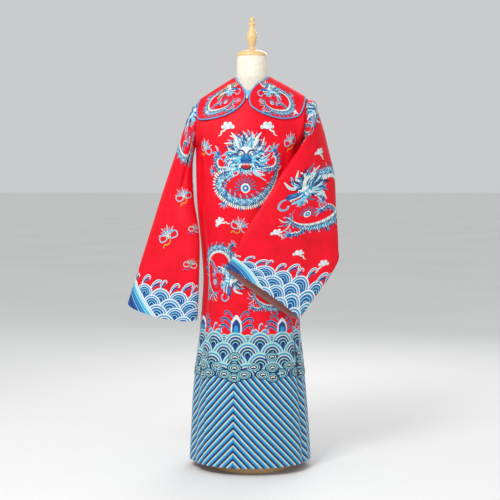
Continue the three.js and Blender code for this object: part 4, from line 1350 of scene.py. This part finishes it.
def chevrons(work, middle):
    """Standing water: chevron stripes from the waves down to the hem."""
    reach = PANEL_MM + abs(middle)
    first = HEM_Z - STRIPE_PITCH
    ridge = np.stack([np.full(40, middle), np.linspace(HEM_Z, STRIPES_TOP + 20, 40)], -1)
    work.ribbon(ridge, 9, "deep_blue", 0.15, 0.0, LAID * 0.5)
    highest = STRIPES_TOP + reach * STRIPE_SLOPE
    for k in range(int((highest - first) / STRIPE_PITCH) + 1):
        below = 0.0
        for width, thread in STRIPE:
            apex = first + k * STRIPE_PITCH - (below + width / 2) / math.cos(STRIPE_ANGLE)
            below += width
            near = max(0.0, (apex - STRIPES_TOP) / STRIPE_SLOPE)
            far = min(reach, (apex - HEM_Z + 12) / STRIPE_SLOPE)
            if far <= near + 1:
                continue
            for flip in (-1, 1):
                across = np.linspace(near, far, max(int((far - near) / STRIPE_STEP), 5))
                path = np.stack([middle + flip * across, apex - across * STRIPE_SLOPE], -1)
                work.ribbon(path, width * 1.06, thread, 0.45, 0.3, LAID)


def ground(work, reach, levels, width, thread, thick, base):
    """Level rows of stitching under a pattern, from side to side."""
    for level in levels:
        path = np.stack([np.linspace(-reach, reach, 60), np.full(60, level)], -1)
        work.ribbon(path, width, thread, thick, base, LAID)


def hem(work, side):
    """The hem's sea: chevron stripes, cloud scrolls, rows of waves and a mountain with small crests."""
    middle = PEAK[side]
    chevrons(work, middle)
    ground(work, PANEL_MM, GROUND_LEVELS, 23, "deep_blue", 0.3, 0.4)
    for k in range(-5, 6):
        wave(work, middle + (2 * k + 1) * WAVE_RADIUS, WAVE_TOPS[0] - 38, 30, WAVE_BANDS, 0.2, steps=16)
    for row, top in enumerate(WAVE_TOPS):
        shift = WAVE_RADIUS * ((row + 1) % 2)
        for k in range(-5, 6):
            x = middle + k * 2 * WAVE_RADIUS + (WAVE_RADIUS - shift)
            wave(work, x, top - WAVE_RADIUS, WAVE_RADIUS * 1.02, WAVE_BANDS, 0.35 + 0.3 * row)
    for k in range(-4, 5):
        for dx, z, base in SCROLL_STACKS[k % 2]:
            scroll_eye(work, middle + k * SCROLL_PITCH + dx, z, base)
    for k in range(-4, 5):
        x = middle + k * PEAK_PITCH
        if k % 2 == 0:
            mountain(work, x, 524, 44, 66 if k == 0 else 52)
            continue
        for flip in (-1, 1):
            wave(work, x + flip * 20, 521, 17, CUFF_BANDS, steps=12)
        crest(work, x - 4, 536, 22, 10)
        crest(work, x + 30, 530, 18, -20, mirror=True)


# Rows of waves on a cuff: how high above its edge each reaches, and its radius.
CUFF_ROWS = ((104, 38), (74, 40), (46, 38), (18, 38))
CUFF_SIZES = (1.0, 0.9, 1.1, 0.95)  # neighbouring waves differ a little
# The slanting stripes of a cuff's triangle, from outside in: thread and width.
SLANTS = [("white", 5), ("sky", 3), ("white", 4), ("sky", 7), ("cyan", 4), ("sky", 5), ("blue", 5)]
SLANTS += [("cyan", 4), ("blue", 6), ("sky", 3)]
SLANTS += [("deep_blue", 6), ("blue", 4), ("navy", 5), ("deep_blue", 5), ("blue", 3)] * 2


def cuff(work, around, triangle):
    """A cuff's sea: a triangle of slanting stripes at the fold, with waves and breaking crests beyond."""
    ground(work, around, (6, 28, 50, 68), 24, "blue", 0.2, 0.0)
    for row, (top, radius) in enumerate(CUFF_ROWS):
        count = int(around / radius) + 2
        for k in range(-count, count + 1):
            x = (k + 0.5 * (row % 2)) * 2 * radius * 0.9
            size = radius * CUFF_SIZES[k % 4]
            wave(work, x, top - size, size, CUFF_BANDS, 0.2 + 0.3 * row, steps=16)
    for k in range(-9, 10):
        crest(work, k * 40 + 10, 92 + 7 * (k % 2), 32 + 6 * (k % 3), 16 - 12 * (k % 3))
    wide, tall = triangle
    inset = 0.0
    for thread, width in SLANTS:
        share = 1 - (inset + width / 2) * math.hypot(wide, tall) / (wide * tall)
        inset += width
        if share <= 0.03:
            break
        for flip in (-1, 1):
            run = np.linspace(0, 1, 18)
            path = np.stack([flip * wide * share * run, tall * share * (1 - run)], -1)
            work.ribbon(path, width * 1.08, thread, 0.5, 1.5, LAID)


# ---- The robe --------------------------------------------------------------------------------------


def body_columns(start, end, pieces_left, pieces_right):
    """Places across a panel, closer together round the neckline."""
    turn = np.linspace(-QUARTER, QUARTER, 37)
    neck = np.arcsin(NECK_HALF_WIDTH / ARMHOLE_X * np.sin(turn)) / QUARTER
    left = np.linspace(start, neck[0], pieces_left, endpoint=False)
    right = np.linspace(neck[-1], end, pieces_right + 1)[1:]
    return np.concatenate([left, neck, right])


BODY_ROWS = np.concatenate([np.linspace(0, 1, 32, endpoint=False), np.linspace(1, 2, 84)])


def make_body():
    def front(u, v):
        return body_point("front", u, v)

    def back(u, v):
        return body_point("back", u, v)

    def underlap(u, v):
        slip = UNDERLAP_STEP * smoothstep(u, UNDERLAP_STEP_FROM, UNDERLAP_STEP_TO)
        out = outward(front, u, v, (-1, 1), (0, 2), body_heart)
        return front(u, v) - out * slip[..., None]

    made = []
    for name, node, surface, columns in (
        ("front_panel", "front_overlap", front, body_columns(OVERLAP_EDGE, 1, 20, 46)),
        ("underlap_panel", "front_underlap", underlap, np.linspace(-1, UNDERLAP_END, 40)),
        ("back_cloth", "back_panel", back, body_columns(-1, 1, 46, 46)),
    ):
        made.append(cloth_shell(name, surface, columns, BODY_ROWS, body_heart, [RED_SATIN, LINING_COTTON]))
        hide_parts(node)
    return made


def make_sleeve(arm):
    last = sleeve_rings(arm)[-1][0]

    def surface(u, v):
        return sleeve_point(arm, u, v)

    def heart(point, u, v):
        return (surface(u, v) + surface(u + 0.5, v)) / 2

    around = np.linspace(0, 1, 128, endpoint=False)
    rows = np.linspace(0, last, 130)
    materials = [RED_SATIN, LINING_COTTON]
    sleeve = cloth_shell(f"{arm}_sleeve", surface, around, rows, heart, materials, closed=True)
    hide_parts(f"sleeve_{arm}")
    if arm == "right":
        return sleeve
    rows = np.linspace(last - 0.5, last, 14)
    materials = [LINING_COTTON, LINING_COTTON]
    lift = -CLOTH - LINING_GAP
    lining = cloth_shell("cuff_lining", surface, around, rows, heart, materials, LINING, lift, True)
    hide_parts("cuff_lining_left")
    return sleeve, lining


def make_cape():
    around, rows = np.linspace(0, CAPE_END, 181), np.linspace(0, 1, 26)
    lift = CAPE_LIFT + CAPE_CLOTH
    materials = [CAPE_SATIN, LINING_COTTON]
    cape = cloth_shell("cape", cape_surface, around, rows, body_heart, materials, CAPE_CLOTH, lift)
    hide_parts("cape_collar")
    return cape


def make_piping():
    """Corded piping round the cape's whole edge."""
    long = np.linspace(0, CAPE_END, 260)
    short = np.linspace(0, 1, 8)[1:-1]
    around = np.concatenate([long, np.full(len(short), CAPE_END), long[::-1], np.zeros(len(short))])
    outs = np.concatenate([np.ones(len(long)), short[::-1], np.zeros(len(long)), short])
    ups = outward(cape_surface, around, outs, (0, CAPE_END), (0, 1), body_heart)
    edge = cape_surface(around, outs)
    ahead = unit(np.roll(edge, -2, 0) - np.roll(edge, 2, 0))
    away = unit(np.cross(ahead, ups))
    middle = cape_surface(around, np.clip(outs, 0.05, 0.95))
    if np.sum(away * (edge - middle)) < 0:
        away = -away
    path = edge + away * (PIPING_RADIUS + SEAM) + ups * (CAPE_LIFT + CAPE_CLOTH / 2)
    for _ in range(2):
        path = (np.roll(path, 1, 0) + 2 * path + np.roll(path, -1, 0)) / 4
    piping = cord_ring("piping", path, ups, PIPING_RADIUS, 12, PIPING_SATIN)
    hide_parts("cape_piping")
    return piping


def make_neck_band():
    def surface(turn, outwards):
        sin, cos = np.sin(turn * TURN), np.cos(turn * TURN)
        deepest = np.where(sin < 0, NECK_ANGLE["back"], NECK_ANGLE["front"])
        reach = BAND_CLEAR_SHARE + outwards * BAND_SPREAD
        angle = sin * (deepest + outwards * BAND_ANGLE + BAND_CLEAR_ANGLE)
        return cape_point(NECK_HALF_WIDTH * cos * reach, angle)

    around = np.linspace(0, 1, 144, endpoint=False)
    lift = BAND_LIFT + BAND_CLOTH
    materials = [BAND_SATIN, LINING_COTTON]
    rows = np.linspace(0, 1, 10)
    band = cloth_shell("neck_binding", surface, around, rows, body_heart, materials, BAND_CLOTH, lift, True)
    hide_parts("neck_band")
    return band


KNOT_WRAPS, KNOT_DRIFT = 3, 4  # how often the knot's strand goes round the button and from end to end
KNOT_CORD_RADIUS = 1.25
KNOT_CORD_INSET, KNOT_CORE_INSET = 1.3, 1.6  # how far inside the button's ends strand and core stay


def ball(turn, rise, inset):
    """Places on the button's rounded body, by the turn round its long axis and the angle up it."""
    ring = np.stack([np.cos(turn) * np.cos(rise), np.sin(rise), np.sin(turn) * np.cos(rise)], -1)
    radius = BUTTON_RADIUS - KNOT_CORD_INSET
    return ring * (radius, BUTTON_HALF - inset, radius)


def make_button():
    """A button knotted from satin cord: strands cross over a rounded core."""
    across = np.array(math.asin(BUTTON_X / ARMHOLE_X) / QUARTER)
    angle = np.array(math.radians(BUTTON_ANGLE))

    def yoke(u, v):
        return yoke_point("front", u, v)

    out = outward(yoke, across, angle, (-1, 1), (0, QUARTER), body_heart)
    middle = yoke(across, angle) + out * BUTTON_LIFT
    along = unit(np.cross(out, [1.0, 0, 0]))
    sideways = unit(np.cross(along, out))
    basis = np.stack([sideways, along, out])
    turn = np.linspace(0, TURN, 260, endpoint=False)
    strand = ball(KNOT_WRAPS * turn, np.cos(KNOT_DRIFT * turn) * 0.9, KNOT_CORD_INSET) @ basis
    knot = cord_ring("button_knot", middle + strand, unit(strand), KNOT_CORD_RADIUS, 8, KNOT_CORD)
    sides, levels = 24, 12
    turn, rise = np.linspace(0, TURN, sides, endpoint=False), np.linspace(-1.4, 1.4, levels)
    core = ball(*np.meshgrid(turn, rise, indexing="ij"), KNOT_CORE_INSET) @ basis
    points = (middle + core).reshape(-1, 3)
    faces = grid_faces(sides, levels, 0, False, True).tolist()
    faces.append(list(range(0, len(points), levels)))
    faces.append(list(range(levels - 1, len(points), levels))[::-1])
    core = piece("button_core", points, faces, [KNOT_CORD], uv=points[:, :2])
    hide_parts("neck_button")
    return knot, core


# ---- The form --------------------------------------------------------------------------------------


def make_form():
    """A linen-covered torso on a steel tube, with a turned beech cap, finial and foot."""
    bottom, top = TORSO[0][0], TORSO[-1][0]
    heights = np.concatenate([np.linspace(bottom, CHEST_Z, 50), np.linspace(CHEST_Z, top, 60)[1:]])
    rows = [(*row[1:4], z) for z, row in zip(heights, between(TORSO, heights))]
    torso = turned_piece("linen_torso", rows, LINEN, 120)
    foot = top + SEAM
    dome = [(CAP_RADIUS - 1, foot), (CAP_RADIUS, foot + 1)]
    for k in np.linspace(0, 1, 16):
        radius = CAP_RADIUS * math.cos(k * QUARTER * CAP_DOME_SHARE)
        dome.append((radius, foot + CAP_RIM + (CAP_HEIGHT - CAP_RIM) * math.sin(k * QUARTER)))
    cap = turned_piece("beech_cap", dome, BEECH)
    foot = top + CAP_HEIGHT + 2 * SEAM
    profile = [(radius, foot + height) for radius, height in (*smooth_curve(FINIAL, 90), FINIAL_TIP)]
    finial = turned_piece("turned_finial", profile, BEECH, 64)
    profile = [(POLE_RADIUS, BASE_HEIGHT + SEAM), (POLE_RADIUS, bottom - SEAM)]
    pole = turned_piece("steel_pole", profile, STEEL, 64)
    edge = []
    for k in np.linspace(0, 1, 8):
        turn = k * QUARTER
        inset = BASE_CHAMFER * (1 - math.cos(turn))
        edge.append((BASE_RADIUS - inset, BASE_HEIGHT - BASE_CHAMFER + BASE_CHAMFER * math.sin(turn)))
    profile = [(BASE_RADIUS - BASE_EASE, 0), (BASE_RADIUS, BASE_EASE), *edge]
    base = turned_piece("beech_foot", profile, BEECH, 128)
    for made, node, slot in (
        (torso, "form_torso", "form_linen"),
        (cap, "form_neck_cap", "form_beech"),
        (finial, "form_finial", "form_beech"),
        (pole, "form_pole", "pole_steel"),
        (base, "form_base", "form_beech"),
    ):
        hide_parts(node)


# ---- Embroidery on each piece ----------------------------------------------------------------------

EDGE_MARGIN = 0.3  # millimetres from the stitches to a cut edge
LOWEST, HIGHEST = HEM_Z + 0.5, 1330  # the heights between which a body panel is embroidered
TUCK = 4  # how far the underlap's stitches run in under the overlap


def embroider_front(name, step_in, low, high):
    work = Stitching(name, body_lay("front", step_in), (low, LOWEST), (high, HIGHEST))
    hem(work, "front")
    for x, z, tail in ((-88, 1275, -1), (55, 1275, 1)):
        work.aim(x, z, (x, z))
        cloud(work, 35, tail)
    for x, z, size in ((-173, 1198, 62), (143, 1224, 58), (-44, 912, 62)):
        work.aim(x, z, (x, z), turn=-20 if x < 0 else 15)
        treasure(work, size)
    work.aim(-119, 926, (-119, 926), turn=40)
    cloud(work, 31)
    work.aim(-24, 1112, (-24, 1112))
    dragon_roundel(work, 132)
    work.aim(-120, 745, (-120, 745), turn=-70)
    dragon_side(work, 92)
    work.aim(78, 690, (78, 690), turn=-15, mirror=True)
    dragon_side(work, 92)
    return work.done()


def embroider_back():
    side = PANEL_MM - EDGE_MARGIN
    work = Stitching("stitching_back", body_lay("back"), (-side, LOWEST), (side, HIGHEST))
    hem(work, "back")
    work.place(0, 1085)
    dragon_roundel(work, 135)
    for x, z, tail in ((-120, 1230, -1), (120, 1230, 1), (-190, 900, -1), (190, 900, 1)):
        work.place(x, z)
        cloud(work, 33, tail)
    for x, z in ((-205, 1050), (205, 1050), (0, 880)):
        work.place(x, z)
        treasure(work, 58)
    for flip in (-1, 1):
        work.place(flip * 125, 720, turn=-10 * flip, mirror=flip > 0)
        dragon_side(work, 98)
    return work.done()


def embroider_sleeve(arm):
    work = Stitching(f"stitching_sleeve_{arm}", sleeve_lay(arm), (-999, EDGE_MARGIN), (999, 890))
    if arm == "right":
        cuff(work, 300, (140, 112))
        for x, z, size in ((-252, 1023, 58), (-312, 876, 66)):
            work.aim(x, z, (120, 400), turn=20)
            treasure(work, size)
        for x, z, size in ((-212, 900, 40), (-228, 769, 44)):
            work.aim(x, z, (120, 400), turn=-15)
            treasure(work, size, ("aqua", "blue", "gold"))
        work.aim(-240, 1262, (60, 680), turn=20)
        dragon_side(work, 84)
        for a, b in ((-90, 330), (-150, 480), (-100, 600)):
            work.place(a, b)
            treasure(work, 58)
    else:
        cuff(work, 330, (155, 118))
        work.aim(247, 1008, (230, 330), mirror=True)
        dragon_side(work, 122)
        for x, z, tail in ((247, 1182, 1), (87, 891, 1), (167, 815, 1), (262, 775, -1)):
            work.aim(x, z, (200, 300))
            cloud(work, 27, tail)
        work.aim(224, 1306, (100, 680))
        dragon_side(work, 72)
        for a, b in ((-90, 300), (-140, 450), (-90, 590)):
            work.place(a, b)
            treasure(work, 58)
    return work.done()


LOBE_SPREAD = (1.28, 1.04)  # the front dragons are wider than they are tall, to fill the cape's lobes


def embroider_cape():
    made = []
    for side in ("front", "back"):
        work = Stitching(f"stitching_cape_{side}", cape_lay(side), (-200, -178), (200, -2))
        if side == "front":
            for x, z, flip in ((-114, 1380, False), (93, 1380, True)):
                work.aim(x, z, (x, -100), turn=-14 if flip else 14, mirror=flip)
                work.place(*work.origin, axes=work.matrix @ np.diag(LOBE_SPREAD))
                dragon_side(work, 46, DARK_LOCKS if flip else GOLD_LOCKS)
            for x, z, tail in ((-165, 1330, 1), (160, 1330, -1)):
                work.aim(x, z, (x, -110))
                cloud(work, 14, tail)
            for x, z in ((-50, 1374), (34, 1372)):
                work.aim(x, z, (x, -120))
                treasure(work, 15)
        else:
            for x, flip in ((-105, False), (105, True)):
                work.place(x, -100, mirror=flip)
                dragon_side(work, 46, GOLD_LOCKS if flip else DARK_LOCKS)
            work.place(0, -132)
            treasure(work, 40)
        made.append(work.done())
    return made


def make_robe():
    over, under, behind = make_body()
    right = make_sleeve("right")
    left, lining = make_sleeve("left")
    cape = make_cape()
    piping = make_piping()
    band = make_neck_band()
    knot, core = make_button()
    side = PANEL_MM - EDGE_MARGIN
    overlap = -PANEL_MM * float(np.interp(-OVERLAP_EDGE, *panel_arcs("front")))
    stitched = {
        "over": embroider_front("stitching_front", False, overlap + EDGE_MARGIN, side),
        "under": embroider_front("stitching_underlap", True, -side, overlap + TUCK),
        "back": embroider_back(),
        "right": embroider_sleeve("right"),
        "left": embroider_sleeve("left"),
    }
    cape_stitched = embroider_cape()


# ---- Floor, light and camera -------------------------------------------------------------------------


def make_stage():
    bpy.ops.mesh.primitive_plane_add(size=160)
    floor = bpy.context.object
    floor.name = "studio_floor"
    material, tree, shader = new_material("painted_floor", {"Roughness": 0.85})
    place = add(tree, "ShaderNodeTexCoord").outputs["Object"]
    noise = add(tree, "ShaderNodeTexNoise", {}, {"Vector": place, "Scale": 0.7, "Detail": 3.0})
    stops = [(0.3, "#efefed"), (0.7, "#f4f4f2")]
    ramp = add(tree, "ShaderNodeValToRGB", {"stops": stops}, {"Fac": noise.outputs["Fac"]})
    tree.links.new(ramp.outputs["Color"], shader.inputs["Base Color"])
    floor.data.materials.append(material)


def area_light(name, place, target, size, power):
    light = bpy.data.lights.new(name, "AREA")
    light.shape = "RECTANGLE"
    light.size, light.size_y = size
    light.energy = power
    made = bpy.data.objects.new(name, light)
    made.location = place
    made.rotation_euler = (Vector(target) - Vector(place)).to_track_quat("-Z", "Y").to_euler()
    bpy.context.scene.collection.objects.link(made)


def light_studio():
    world = bpy.data.worlds.new("studio_air")
    bpy.context.scene.world = world
    world.use_nodes = True
    background = world.node_tree.nodes["Background"]
    background.inputs["Color"].default_value = linear("#e6e8ea")
    background.inputs["Strength"].default_value = 0.74
    chest = (0, 0, 1.0)
    area_light("key_light", (-1.5, -2.8, 3.4), chest, (1.3, 1.3), 96)
    area_light("fill_light", (2.6, -2.8, 1.6), chest, (1.8, 2.2), 9)
    area_light("back_light", (0.8, 2.6, 2.6), chest, (2.0, 1.6), 34)
    bpy.context.scene.view_settings.view_transform = "Standard"


CAMERA_PLACE = (-7.6, -4500, 1092)
CAMERA_PITCH = 3.48  # degrees below level
CAMERA_LENS = 85.97
CAMERA_SENSOR = 36


def make_camera():
    camera = bpy.data.cameras.new("view")
    camera.sensor_width = CAMERA_SENSOR
    camera.lens = CAMERA_LENS
    made = bpy.data.objects.new("view", camera)
    made.location = Vector(CAMERA_PLACE) * MM
    made.rotation_euler = (math.radians(90 - CAMERA_PITCH), 0, 0)
    bpy.context.scene.collection.objects.link(made)
    bpy.context.scene.camera = made


make_form()
make_robe()
make_stage()
light_studio()
make_camera()
